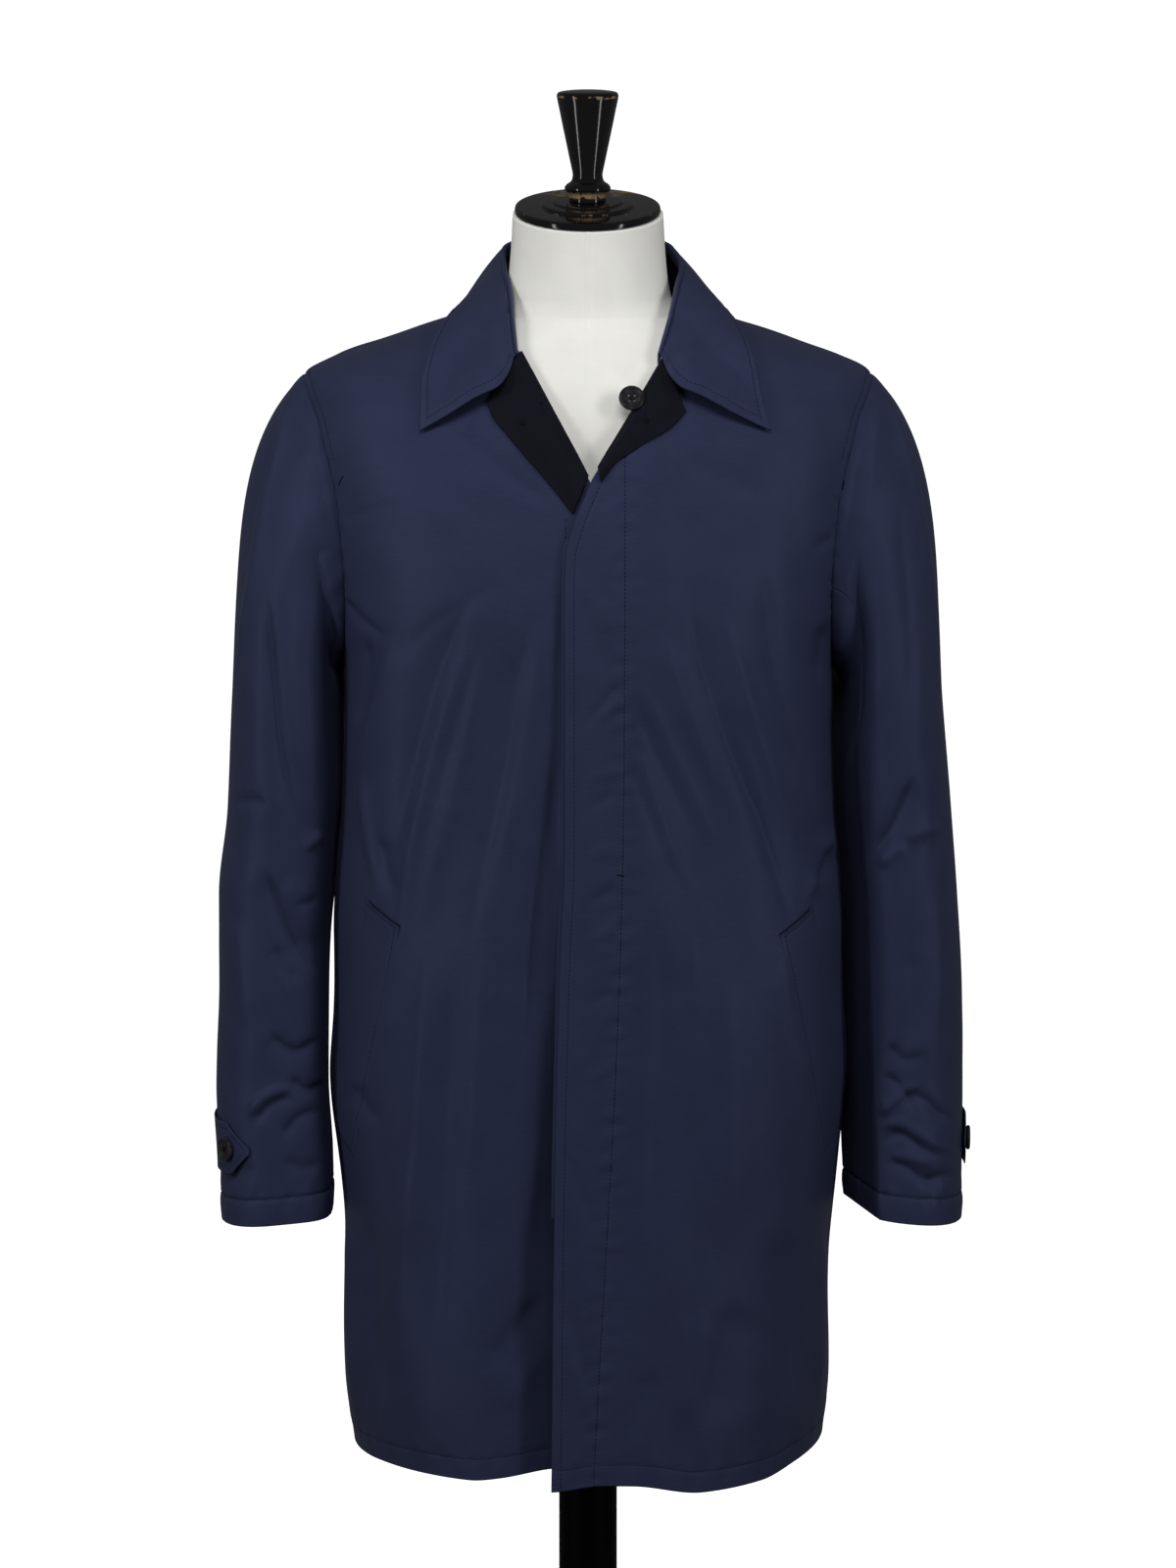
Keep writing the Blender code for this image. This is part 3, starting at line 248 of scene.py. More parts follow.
LACQUER = Finish("lacquer_finish", Coat_Roughness=0.04, Specular_IOR_Level=0.5)
place = LACQUER.object_place()
height = LACQUER.axis(place, 2)
patch = LACQUER.noise(place, 160.0, 5.0)
rim_wear = height.between(1.6596, 1.6608) * height.between(1.6634, 1.6618) * patch.between(0.50, 0.60)
foot_wear = height.between(1.5815, 1.5835) * height.between(1.5885, 1.5868) * patch.between(0.44, 0.54)
disc_wear = height.between(1.5705, 1.5712) * height.between(1.5724, 1.5716) * patch.between(0.60, 0.66)
bare = (rim_wear + foot_wear * 0.9 + disc_wear * 0.6).between(0.0, 1.0)
grain = LACQUER.noise(LACQUER.stretched(place, (1.0, 1.0, 0.15)), 420.0, 3.0)
wood = LACQUER.blend(grain, (0.10, 0.065, 0.035, 1), (0.23, 0.16, 0.09, 1))
LACQUER.use(Base_Color=LACQUER.blend(bare, (0.0028, 0.0028, 0.0030, 1), wood))
LACQUER.use(Roughness=0.10 + bare * 0.45 + LACQUER.noise(place, 60.0) * 0.05, Coat_Weight=0.8 - bare * 0.8)
LACQUER.relief(LACQUER.noise(place, 90.0) * 0.6 + grain * bare * 0.8, 0.08, 0.0004)

STEEL = Finish("stand_finish", Specular_IOR_Level=0.08)
place = STEEL.object_place()
speck = STEEL.noise(place, 700.0, 2.0)
STEEL.use(Base_Color=STEEL.blend(speck, (0.0010, 0.0010, 0.0011, 1), (0.0022, 0.0022, 0.0024, 1)))
STEEL.use(Roughness=0.38 + speck * 0.14)
STEEL.relief(speck, 0.12, 0.0002)

RESIN = Finish("resin_finish", Specular_IOR_Level=0.5)
place = RESIN.object_place()
swirl = RESIN.noise(place, 240.0, 3.0)
RESIN.use(Base_Color=RESIN.blend(swirl.between(0.4, 0.8), (0.009, 0.009, 0.010, 1), (0.030, 0.030, 0.032, 1)))
RESIN.use(Roughness=0.30 + swirl * 0.14)
RESIN.relief(swirl, 0.06, 0.0002)
print("finishes:", len(bpy.data.materials))

# %% [markdown]
# The sizes of the coat are the sizes that the model was cut to: sections across the body from hem
# to neck, the armhole, the hem, the edges of the fronts and the line on which they roll open. A
# smooth column runs through each short table.

# %% Tables of the body
HEM_Z = 0.587
ARMPIT_Z = 1.215
TIP_Z = 1.4445
NECK_POINT_Z = 1.4975
NECK_RISE_POWER = 0.8

# height, half width, depth to the front, depth to the back, squareness
BODY_SECTIONS = [
    (0.570, 0.1868, 0.1685, 0.1655, 2.30),
    (0.590, 0.1890, 0.1678, 0.1648, 2.30),
    (0.640, 0.1945, 0.1660, 0.1630, 2.35),
    (0.750, 0.1978, 0.1620, 0.1590, 2.40),
    (0.900, 0.2020, 0.1570, 0.1530, 2.50),
    (1.000, 0.2020, 0.1535, 0.1485, 2.60),
    (1.050, 0.1995, 0.1520, 0.1465, 2.62),
    (1.100, 0.1950, 0.1510, 0.1450, 2.65),
    (1.160, 0.1930, 0.1500, 0.1440, 2.70),
    (1.215, 0.1925, 0.1490, 0.1450, 2.75),
    (1.270, 0.1985, 0.1465, 0.1465, 2.70),
    (1.330, 0.2115, 0.1380, 0.1455, 2.50),
    (1.370, 0.2205, 0.1285, 0.1415, 2.40),
    (1.400, 0.2270, 0.1185, 0.1345, 2.30),
    (1.428, 0.2280, 0.1075, 0.1230, 2.20),
    (1.4445, 0.2220, 0.0990, 0.1145, 2.15),
    (1.4580, 0.1980, 0.0910, 0.1055, 2.10),
    (1.4698, 0.1633, 0.0835, 0.0970, 2.10),
    (1.4815, 0.1302, 0.0750, 0.0885, 2.10),
    (1.4975, 0.0860, 0.0635, 0.0775, 2.00),
    (1.5120, 0.0620, 0.0560, 0.0660, 2.00),
]
# share of the way up, height, distance ahead of the shoulder line, behind it
ARMHOLE = [
    (0.00, 1.2150, 0.000, 0.000),
    (0.10, 1.2220, 0.029, 0.032),
    (0.20, 1.2420, 0.052, 0.058),
    (0.30, 1.2720, 0.066, 0.075),
    (0.40, 1.3060, 0.072, 0.082),
    (0.50, 1.3400, 0.072, 0.083),
    (0.60, 1.3710, 0.067, 0.077),
    (0.70, 1.3980, 0.058, 0.067),
    (0.80, 1.4200, 0.045, 0.052),
    (0.90, 1.4370, 0.025, 0.029),
    (1.00, 1.4445, 0.000, 0.000),
]
# distance to one side of the middle, height
HEM_LEFT = [(-0.035, 0.5826), (-0.020, 0.5840), (0.010, 0.5885), (0.035, 0.5880), (0.090, 0.5780),
            (0.138, 0.5800), (0.165, 0.5870), (0.195, 0.5930)]
HEM_RIGHT = [(-0.040, 0.5980), (0.030, 0.5960), (0.070, 0.5905), (0.095, 0.5875), (0.155, 0.5880),
             (0.195, 0.5850)]
# share of the way from the left side to the right, height
HEM_BACK = [(0.0, 0.5930), (0.3, 0.5860), (0.7, 0.5840), (1.0, 0.5850)]
# height, x of the front edge
LEFT_EDGE = [(0.585, -0.0276), (0.800, -0.0253), (1.000, -0.0209), (1.090, -0.0172), (1.280, -0.0172),
             (1.317, -0.0162), (1.345, -0.0085), (1.3745, 0.0038)]
RIGHT_EDGE = [(0.585, -0.0330), (1.280, -0.0330), (1.330, -0.0270), (1.3715, -0.0020)]
# x, height
LEFT_ROLL_TOP = (0.0584, 1.4630)
RIGHT_ROLL_TOP = (0.0520, 1.4670)
# side, top x, top z, bottom x, bottom z, half width, depth
FRONT_FOLDS = [
    (1, 0.040, 1.215, 0.135, 0.975, 0.032, 0.0050),
    (1, 0.090, 1.200, 0.165, 1.010, 0.030, 0.0040),
    (-1, 0.078, 1.270, 0.118, 1.120, 0.030, 0.0045),
    (-1, 0.045, 1.250, 0.152, 0.940, 0.030, 0.0050),
]
# top x, top z, bottom x, bottom z, half width, depth
BACK_FOLDS = [
    (-0.060, 1.240, -0.105, 0.640, 0.036, 0.0060),
    (0.020, 1.180, 0.035, 0.610, 0.034, 0.0050),
    (0.085, 1.260, 0.120, 0.720, 0.034, 0.0055),
]
OVERLAP_LIFT = 0.0062
OVERLAP_X = (0.036, 0.085)
OVERLAP_TOP_Z = (1.375, 1.425)
TUCK_DEPTH = 0.022
TUCK_X = (0.085, 0.015)
TUCK_Z = (1.260, 0.740)
SIDE_CALM = 0.26

# %% Smooth columns


class Profile:
    """Smooth columns through a table whose first column only rises."""

    def __init__(self, rows):
        data = np.array(sorted(rows), dtype=float)
        self.t = data[:, 0]
        self.v = data[:, 1:]
        rise = np.diff(self.v, axis=0) / np.diff(self.t)[:, None]
        before, after = rise[:-1], rise[1:]
        same = before * after > 0
        middle = np.where(same, 2 * before * after / np.where(same, before + after, 1.0), 0.0)
        self.slope = np.vstack([rise[:1], middle, rise[-1:]])

    def at(self, t):
        t = np.clip(np.asarray(t, dtype=float), self.t[0], self.t[-1])
        k = np.clip(np.searchsorted(self.t, t) - 1, 0, len(self.t) - 2)
        width = (self.t[k + 1] - self.t[k])[..., None]
        f = (t - self.t[k])[..., None] / width
        return hermite(f, self.v[k], width * self.slope[k], self.v[k + 1], width * self.slope[k + 1])


def hermite(f, start, leave, end, arrive):
    """Smooth way from start to end with a given slope at either end."""
    ends = (1 + 2 * f) * (1 - f) ** 2 * start + f * f * (3 - 2 * f) * end
    return ends + f * (1 - f) ** 2 * leave + f * f * (f - 1) * arrive


def smooth_step(start, end, value):
    f = np.clip((np.asarray(value, dtype=float) - start) / (end - start), 0.0, 1.0)
    return f * f * (3 - 2 * f)


def unit(vectors):
    return vectors / np.maximum(np.linalg.norm(vectors, axis=-1, keepdims=True), 1e-12)


BODY = Profile(BODY_SECTIONS)
EDGE = {1: Profile(LEFT_EDGE), -1: Profile(RIGHT_EDGE)}
ROLL_TOP = {1: LEFT_ROLL_TOP, -1: RIGHT_ROLL_TOP}
HEM = {1: Profile(HEM_LEFT), -1: Profile(HEM_RIGHT)}
HEM_BACK_LINE = Profile(HEM_BACK)
print("body sections:", len(BODY_SECTIONS))

# %% [markdown]
# A section is a rounded oblong, wider than it is deep. An angle from the middle front and a height
# give one point of the body. The upper front stands off the lower one, which falls back behind it.

# %% Body surface


def section_point(profile, angle, z):
    half, front, back, square = np.moveaxis(profile.at(z), -1, 0)
    ahead = np.cos(angle)
    depth = np.where(ahead > 0, front, back)
    size = np.abs(np.sin(angle) / half) ** square + np.abs(ahead / depth) ** square
    radius = size ** (-1 / square)
    return np.stack([radius * np.sin(angle), -radius * ahead, z + 0 * angle], axis=-1)


def front_angle(x, z):
    half, front, _, square = np.moveaxis(BODY.at(z), -1, 0)
    share = np.clip(np.abs(x) / half, 0.0, 1.0)
    return np.arctan2(x, front * (1 - share ** square) ** (1 / square))


def side_angle(y, z, side):
    half, front, back, square = np.moveaxis(BODY.at(z), -1, 0)
    share = np.clip(np.abs(y) / np.where(y < 0, front, back), 0.0, 1.0)
    return np.arctan2(side * half * (1 - share ** square) ** (1 / square), -y)


def trough(x, z, top_x, top_z, low_x, low_z, width, depth):
    run = np.array([low_x - top_x, low_z - top_z])
    length = np.hypot(*run)
    run = run / length
    along = np.clip(((x - top_x) * run[0] + (z - top_z) * run[1]) / length, 0.0, 1.0)
    aside = (x - top_x) * run[1] - (z - top_z) * run[0]
    return -depth * 4 * along * (1 - along) * np.exp(-((aside / width) ** 2))


def body_offset(x, z, side):
    """How far the cloth stands off the plain section; side 0 is the back."""
    if side == 0:
        return sum(trough(x, z, *row) for row in BACK_FOLDS)
    across = side * x
    total = sum(trough(across, z, *row[1:]) for row in FRONT_FOLDS if row[0] == side)
    if side > 0:
        return total + OVERLAP_LIFT * (1 - smooth_step(*OVERLAP_X, x)) * (1 - smooth_step(*OVERLAP_TOP_Z, z))
    return total - TUCK_DEPTH * smooth_step(*TUCK_X, across) * smooth_step(*TUCK_Z, z)


def plain_normal(angle, z):
    turn, rise = 1e-4, 1e-5
    along = section_point(BODY, angle + turn, z) - section_point(BODY, angle - turn, z)
    up = section_point(BODY, angle, z + rise) - section_point(BODY, angle, z - rise)
    return unit(np.cross(along, up))


# %% Sides of the skirt
# The sides of the skirt are not straight: angle, height, half height, depth
SIDE_BULGES = [(math.pi / 2, 0.895, 0.050, 0.0045), (math.pi / 2, 0.727, 0.070, -0.0050),
               (-math.pi / 2, 0.760, 0.060, -0.0040), (3 * math.pi / 2, 0.760, 0.060, -0.0040),
               (-math.pi / 2, 0.880, 0.045, 0.0045), (3 * math.pi / 2, 0.880, 0.045, 0.0045)]
BULGE_TURN = 0.45


def body_surface(angle, z, side):
    point = section_point(BODY, angle, z)
    from_side = math.pi / 2 - np.abs(angle)
    if side == 0:
        from_side = np.minimum(angle - math.pi / 2, 3 * math.pi / 2 - angle)
    offset = body_offset(point[..., 0], z, side) * smooth_step(0.0, SIDE_CALM, from_side)
    for turn, height, half, depth in SIDE_BULGES:
        offset = offset + depth * np.exp(-(((z - height) / half) ** 2) - ((angle - turn) / BULGE_TURN) ** 2)
    return point + plain_normal(angle, z) * offset[..., None]


def body_normal(angle, z, side):
    turn, rise = 1e-4, 1e-5
    along = body_surface(angle + turn, z, side) - body_surface(angle - turn, z, side)
    up = body_surface(angle, z + rise, side) - body_surface(angle, z - rise, side)
    return unit(np.cross(along, up))


hem_half, hem_front, hem_rear = BODY.at(HEM_Z)[:3]
print("hem", round(2 * hem_half, 3), "m wide and", round(hem_front + hem_rear, 3), "m deep")

# %% [markdown]
# A crease is a soft trough or ridge along a line of a few points. Its table gives the line as it is
# seen in the picture, its half width in pixels (0.78 mm each) and its depth in millimetres, so that
# each can be as uneven as the real ones. Depths below zero go inwards.

# %% Creases
# shares of the length over which a crease starts and wanes, and how round its crest is
FADE_IN = 0.25
FADE_OUT = 0.66
CREST = 0.32
CREASE_REACH = 3.2
MILLIMETRE = 0.001


def smooth_path(points, steps=8):
    """Curve through a few points."""
    p = np.array(points, dtype=float)
    p = np.vstack([2 * p[0] - p[1], p, 2 * p[-1] - p[-2]])
    t = np.linspace(0, 1, steps, endpoint=False)[:, None]
    parts = []
    for a, b, c, d in zip(p[:-3], p[1:-2], p[2:-1], p[3:]):
        parts.append(hermite(t, b, (c - a) / 2, c, (d - b) / 2))
    return np.vstack(parts + [p[-2:-1]])


def crease(place, path, width, depth, lean=0.0):
    """Height of one crease at each place; a lean makes one flank steeper."""
    line = smooth_path(path)
    start, run = line[:-1], np.diff(line, axis=0)
    length = np.linalg.norm(run, axis=1)
    before = np.cumsum(length) - length
    reach = CREASE_REACH * width
    flat = place.reshape(-1, 2)
    near = np.all((flat > line.min(axis=0) - reach) & (flat < line.max(axis=0) + reach), axis=1)
    height = np.zeros(len(flat))
    off = flat[near][:, None, :] - start
    f = np.clip((off * run).sum(axis=-1) / length ** 2, 0, 1)
    off = off - f[..., None] * run
    far = np.linalg.norm(off, axis=-1)
    pick = (np.arange(len(far)), far.argmin(axis=1))
    along = (before[pick[1]] + f[pick] * length[pick[1]]) / length.sum()
    turn = run[pick[1], 0] * off[pick][:, 1] - run[pick[1], 1] * off[pick][:, 0]
    fade = smooth_step(0, FADE_IN, along) * smooth_step(1, FADE_OUT, along)
    share = far[pick] / (width * (0.45 + 0.55 * fade) * (1 + lean * np.sign(turn)))
    crisp = np.exp(-1.2 * (np.hypot(share, CREST) - CREST) - (share / 2.2) ** 2)
    height[near] = depth * fade * crisp
    return height.reshape(place.shape[:-1]) * MILLIMETRE


def creased(points, normals, table, place=seen, towards=-1.0):
    """All creases of a table on the cloth that faces the viewer."""
    where = place(points)
    shown = smooth_step(-0.10, 0.35, towards * normals[..., 1])
    total = np.zeros(points.shape[:-1])
    for row in table:
        total += crease(where, *row)
    return total * shown


# %% Waves and ripples
DRAPE_WAVES = 9
PUCKER_WAVES = 4


def drape(points, seed, size):
    """Slow uneven waves that run mostly down the cloth."""
    pick = np.random.default_rng(seed)
    total = np.zeros(points.shape[:-1])
    for _ in range(DRAPE_WAVES):
        across = pick.uniform(0.05, 0.13)
        down = pick.uniform(0.25, 0.60)
        swing = pick.uniform(-0.6, 0.6)
        phase = pick.uniform(0, 2 * math.pi)
        side = points[..., 0] + points[..., 1] * 0.6 + points[..., 2] * 0.12 * swing
        total += np.sin(2 * math.pi * (side / across + points[..., 2] / down) + phase)
    return total * size / 3


def pucker(along, aside, seed, size, reach, period=0.012):
    """Small ripples that a stitched line draws into the cloth beside it."""
    pick = np.random.default_rng(seed)
    total = 0.0
    for _ in range(PUCKER_WAVES):
        wave = period * pick.uniform(0.7, 1.6)
        lean = pick.uniform(-0.7, 0.7)
        total = total + np.sin(2 * math.pi * (along + lean * aside) / wave + pick.uniform(0, 6.28))
    return total / 2 * size * np.exp(-((aside / reach) ** 2))


print("waves in a drape:", DRAPE_WAVES, "in a pucker:", PUCKER_WAVES)

# %% [markdown]
# Every cloth piece goes through `cloth`: a grid of points becomes a closed thin shell, rounded on
# its free edges and plain on its seams. The outer side takes the navy cloth and the inner side the
# dark one. The map of the cloth is in metres, so that the weave keeps its size on every piece.

# %% Cloth pieces
CLOTH_THICK = 0.0016
THIN_CLOTH = 0.0011
EDGE_ROWS = {"low": (np.s_[0], np.s_[1]), "high": (np.s_[-1], np.s_[-2]),
             "first": (np.s_[:, 0], np.s_[:, 1]), "last": (np.s_[:, -1], np.s_[:, -2])}
ALL_EDGES = ("low", "high", "first", "last")
# half width of the groove that a stitched line draws into the cloth
GROOVE_WIDTH = 0.0011


def grid_normals(points, out):
    """Normals of a grid, on the side that `out` points to."""
    normal = unit(np.cross(np.gradient(points, axis=1), np.gradient(points, axis=0)))
    return normal * np.sign((normal * out).sum(axis=-1).mean())


def steps_between(points, axis):
    """Way travelled along the rows or columns of a grid."""
    size = np.linalg.norm(np.diff(points, axis=axis), axis=-1)
    start = np.zeros_like(np.take(size, [0], axis=axis))
    return np.cumsum(np.concatenate([start, size], axis=axis), axis=axis)


def edge_way(points, edge):
    """Distance of each point from one edge of its grid, along the cloth."""
    axis = 0 if edge in ("low", "high") else 1
    way = steps_between(points, axis)
    if edge in ("high", "last"):
        way = np.take(way, [-1], axis=axis) - way
    return way


def inset(points, edges):
    return np.min([edge_way(points, edge) for edge in edges], axis=0)


def groove(way, at, width, depth):
    return -depth * np.exp(-(((way - at) / width) ** 2))


def seam_turn(points, edges, depth=0.0009, width=0.0016):
    """Cloth turns in where it is sewn to its neighbour."""
    return groove(inset(points, edges), 0.0, width, depth)


# %% Shells


def piece(name, points, faces, place, materials, picks, smooth=True):
    """One mesh object; a name that the frame already uses gets an ending."""
    mesh = bpy.data.meshes.new(name)
    mesh.from_pydata(points.tolist(), [], faces.tolist() if hasattr(faces, "tolist") else faces)
    for material in materials:
        mesh.materials.append(material)
    mesh.polygons.foreach_set("material_index", np.asarray(picks, dtype=np.int32))
    mesh.polygons.foreach_set("use_smooth", np.full(len(mesh.polygons), smooth))
    if place is not None:
        corner = np.zeros(len(mesh.loops), dtype=np.int32)
        mesh.loops.foreach_get("vertex_index", corner)
        mesh.uv_layers.new(name="cloth").data.foreach_set("uv", place[corner].astype(np.float32).ravel())
    mesh.update()
    taken = name in bpy.data.objects
    made = bpy.data.objects.new(name + "_drawn" if taken else name, mesh)
    bpy.context.scene.collection.objects.link(made)
    return made


def cloth(name, middle, out, free=(), thick=CLOTH_THICK, inside=LINING, outside=SHELL):
    """A closed shell about a grid of points; free edges are rounded."""
    rows, cols = middle.shape[:2]
    count = rows * cols
    normal = grid_normals(middle, out)
    outer = (middle + normal * thick / 2).reshape(-1, 3)
    inner = (middle - normal * thick / 2).reshape(-1, 3)
    push = np.zeros_like(middle)
    for edge in free:
        end, beside = EDGE_ROWS[edge]
        push[end] += unit(middle[end] - middle[beside]) * thick / 2
    index = np.arange(count).reshape(rows, cols)
    ring = np.concatenate([index[0], index[1:, -1], index[-1, -2::-1], index[-2:0:-1, 0]])
    points = np.vstack([outer, inner, (middle + push).reshape(-1, 3)[ring]])
    corners = [index[:-1, :-1], index[:-1, 1:], index[1:, 1:], index[1:, :-1]]
    quads = np.stack(corners, axis=-1).reshape(-1, 4)
    rim = 2 * count + np.arange(len(ring))
    ahead = np.roll(ring, -1)
    rim_ahead = np.roll(rim, -1)
    rim_out = np.stack([ahead, ring, rim, rim_ahead], axis=-1)
    rim_in = np.stack([rim_ahead, rim, ring + count, ahead + count], axis=-1)
    faces = np.vstack([quads, quads[:, ::-1] + count, rim_out, rim_in])
    a, b, c = (outer[quads[len(quads) // 2, k]] for k in range(3))
    if np.dot(np.cross(b - a, c - a), normal.reshape(-1, 3)[quads[len(quads) // 2, 0]]) < 0:
        faces = faces[:, ::-1]
    flat = np.stack([steps_between(middle, 1), steps_between(middle, 0)], axis=-1).reshape(-1, 2)
    place = np.vstack([flat, flat, flat[ring]])
    picks = np.concatenate([np.zeros(len(quads)), np.ones(len(quads)), np.zeros(2 * len(ring))])
    return piece(name, points, faces, place, [outside, inside], picks)


def finish_cloth(made, node, rests_on=("bust",)):
    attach(made, "root")
    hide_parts(node)
    print(made.name, len(made.data.polygons), "faces")


print("cloth", CLOTH_THICK * 1000, "mm, small pieces", THIN_CLOTH * 1000, "mm")

# %% [markdown]
# The armhole is the seam shared by the body and a sleeve. It is a closed line on the side of the
# body. At each of its points the sleeve leaves in its own way: outwards and down at the shoulder,
# more steeply at the armpit.

# %% Armholes
ARM_COLS = 96
HALF_GAP = 0.00015
LEAVE_ARMPIT = (0.60, -0.80)
LEAVE_SIDE = (0.55, -0.84)
LEAVE_TIP = (0.74, -0.67)
# how far along the edge the ways out are evened, in points
EVEN_WIDTH = 5
EVEN_REACH = 10
ARM_CURVE = Profile(ARMHOLE)


def square_off(vectors, *axes):
    for axis in axes:
        vectors = vectors - axis * (vectors * axis).sum(axis=-1, keepdims=True)
    return unit(vectors)


class Armhole:
    def __init__(self, side):
        share = np.arange(2 * ARM_COLS) / ARM_COLS
        part = np.minimum(share, 2 - share)
        z, ahead, behind = np.moveaxis(ARM_CURVE.at(part), -1, 0)
        angle = side_angle(np.where(share <= 1, -ahead, behind), z, side)
        self.point = section_point(BODY, angle, z)
        body_n = plain_normal(angle, z)
        tangent = unit(np.roll(self.point, -1, axis=0) - np.roll(self.point, 1, axis=0))
        middle = self.point.mean(axis=0)
        out = square_off(middle - self.point, tangent, body_n)
        low = 1 - smooth_step(0.0, 0.45, part)
        high = smooth_step(0.55, 1.0, part)
        way = np.outer(low, LEAVE_ARMPIT) + np.outer(1 - low - high, LEAVE_SIDE)
        way = way + np.outer(high, LEAVE_TIP)
        way = np.stack([side * way[:, 0], 0 * part, way[:, 1]], axis=-1)
        leave = square_off(way, tangent)
        self.mitre = unit(out + leave)
        # The armhole is narrow at the shoulder, so the ways out are evened along the edge
        steps = range(-EVEN_REACH, EVEN_REACH + 1)
        self.leave = unit(sum(math.exp(-((k / EVEN_WIDTH) ** 2)) * np.roll(leave, k, axis=0) for k in steps))


HOLES = {side: Armhole(side) for side in (1, -1)}
print("points on an armhole:", 2 * ARM_COLS)

# %% [markdown]
# A front runs from its free edge to the side seam and the armhole. Its rows climb from the hem, up
# the edge, along the roll line and round the neck; its columns are set by distance, close together
# where a stitched line pulls the cloth in. Creases come last, on top of the plain shape.

# %% Rows and columns of the fronts
SKIRT, EDGE_TOP, ROLL_END, NECK_END = 10.0, 14.0, 18.0, 22.0
HEM_STITCH = 0.0165
ARM_STITCH = 0.0080
EDGE_STITCH = 0.0068
SUPPORT = np.array([0.0, 0.0006, 0.0018, 0.0034])
# rows above the hem stitch, up the edge, along the roll line and round the neck
SKIRT_ROWS, EDGE_STEPS, ROLL_ROWS, NECK_ROWS = 182, 50, 36, 26
MOST_NEAR = 0.45
# height, x of the stitched line that holds the fly
PLACKET_LINE = Profile([(0.585, 0.0042), (1.070, 0.0266), (1.200, 0.0280), (1.430, 0.0287)])


def around(at):
    return at + np.array([-0.0022, -0.0010, 0.0, 0.0010, 0.0022])


def front_rows():
    hem = np.concatenate([SUPPORT, [0.0065, 0.0105], around(HEM_STITCH), [0.0215]])
    hem = hem / (ARMPIT_Z - HEM_Z) * SKIRT
    skirt = np.linspace(hem[-1], SKIRT, SKIRT_ROWS)[1:]
    edge = np.linspace(SKIRT, EDGE_TOP, EDGE_STEPS)[1:]
    roll = np.linspace(EDGE_TOP, ROLL_END, ROLL_ROWS)[1:]
    neck = np.linspace(ROLL_END, NECK_END - 0.25, NECK_ROWS)[1:]
    return np.concatenate([hem, skirt, edge, roll, neck, NECK_END - np.array([0.17, 0.10, 0.05, 0.0])])


def neck_rise(share):
    return np.sin(np.clip(share, 0, 1) * math.pi / 2) ** NECK_RISE_POWER


def front_lines(side, r):
    """Angle and height of the free edge and of the seam at each row."""
    edge = EDGE[side]
    roll_x, roll_z = ROLL_TOP[side]
    top = edge.t[-1]
    z = np.interp(r, [0, SKIRT, EDGE_TOP], [HEM_Z, ARMPIT_Z, top])
    x = edge.at(z)[:, 0]
    roll = np.clip((r - EDGE_TOP) / (ROLL_END - EDGE_TOP), 0, 1)
    x = x + (roll_x - edge.v[-1, 0]) * roll
    z = z + (roll_z - top) * roll
    angle = front_angle(x, z)
    neck = np.clip((r - ROLL_END) / (NECK_END - ROLL_END), 0, 1)
    start = front_angle(np.array([roll_x]), np.array([roll_z]))[0]
    angle = angle + (math.pi / 2 - start) * neck
    z = z + (NECK_POINT_Z - roll_z) * neck_rise(neck)
    seam_angle, seam_z = seam_line(r, 1)
    return angle, z, seam_angle, seam_z


def seam_line(r, ahead):
    """Side seam and armhole, on the front (ahead 1) or on the back (ahead -1)."""
    share = np.clip((r - SKIRT) / (NECK_END - SKIRT), 0, 1)
    z, front, back = np.moveaxis(ARM_CURVE.at(share), -1, 0)
    angle = np.abs(side_angle(np.where(ahead > 0, -front, back), z, 1))
    low = r < SKIRT
    z = np.where(low, HEM_Z + (ARMPIT_Z - HEM_Z) * r / SKIRT, z)
    return np.where(low, math.pi / 2, angle), z


def spread_columns(points, near_first, near_last, between):
    """Shares at which each row has its columns: fixed distances at both ends, even between."""
    way = steps_between(points, 1)
    dense = np.linspace(0, 1, points.shape[1])
    shares = []
    for k, row in enumerate(way):
        first = near_first[k] if near_first.ndim == 2 else near_first
        last = row[-1] - near_last[::-1]
        most = row[-1] * MOST_NEAR
        if first[-1] > most:
            first = np.minimum(first, most * first / first[-1])
        even = np.linspace(first[-1], last[0], between + 2)[1:-1]
        shares.append(np.interp(np.concatenate([first, even, last]), row, dense))
    return np.array(shares)


print("rows of a front:", len(front_rows()))

# %% [markdown]
# The largest creases of the fronts, as they are seen. The lower front has sharp little folds at
# the armpit, long soft valleys that fall towards the pocket, and a deep trough beside the overlap.
# The upper front has a long valley from the chest to the pocket and small slanting puckers in the fly.

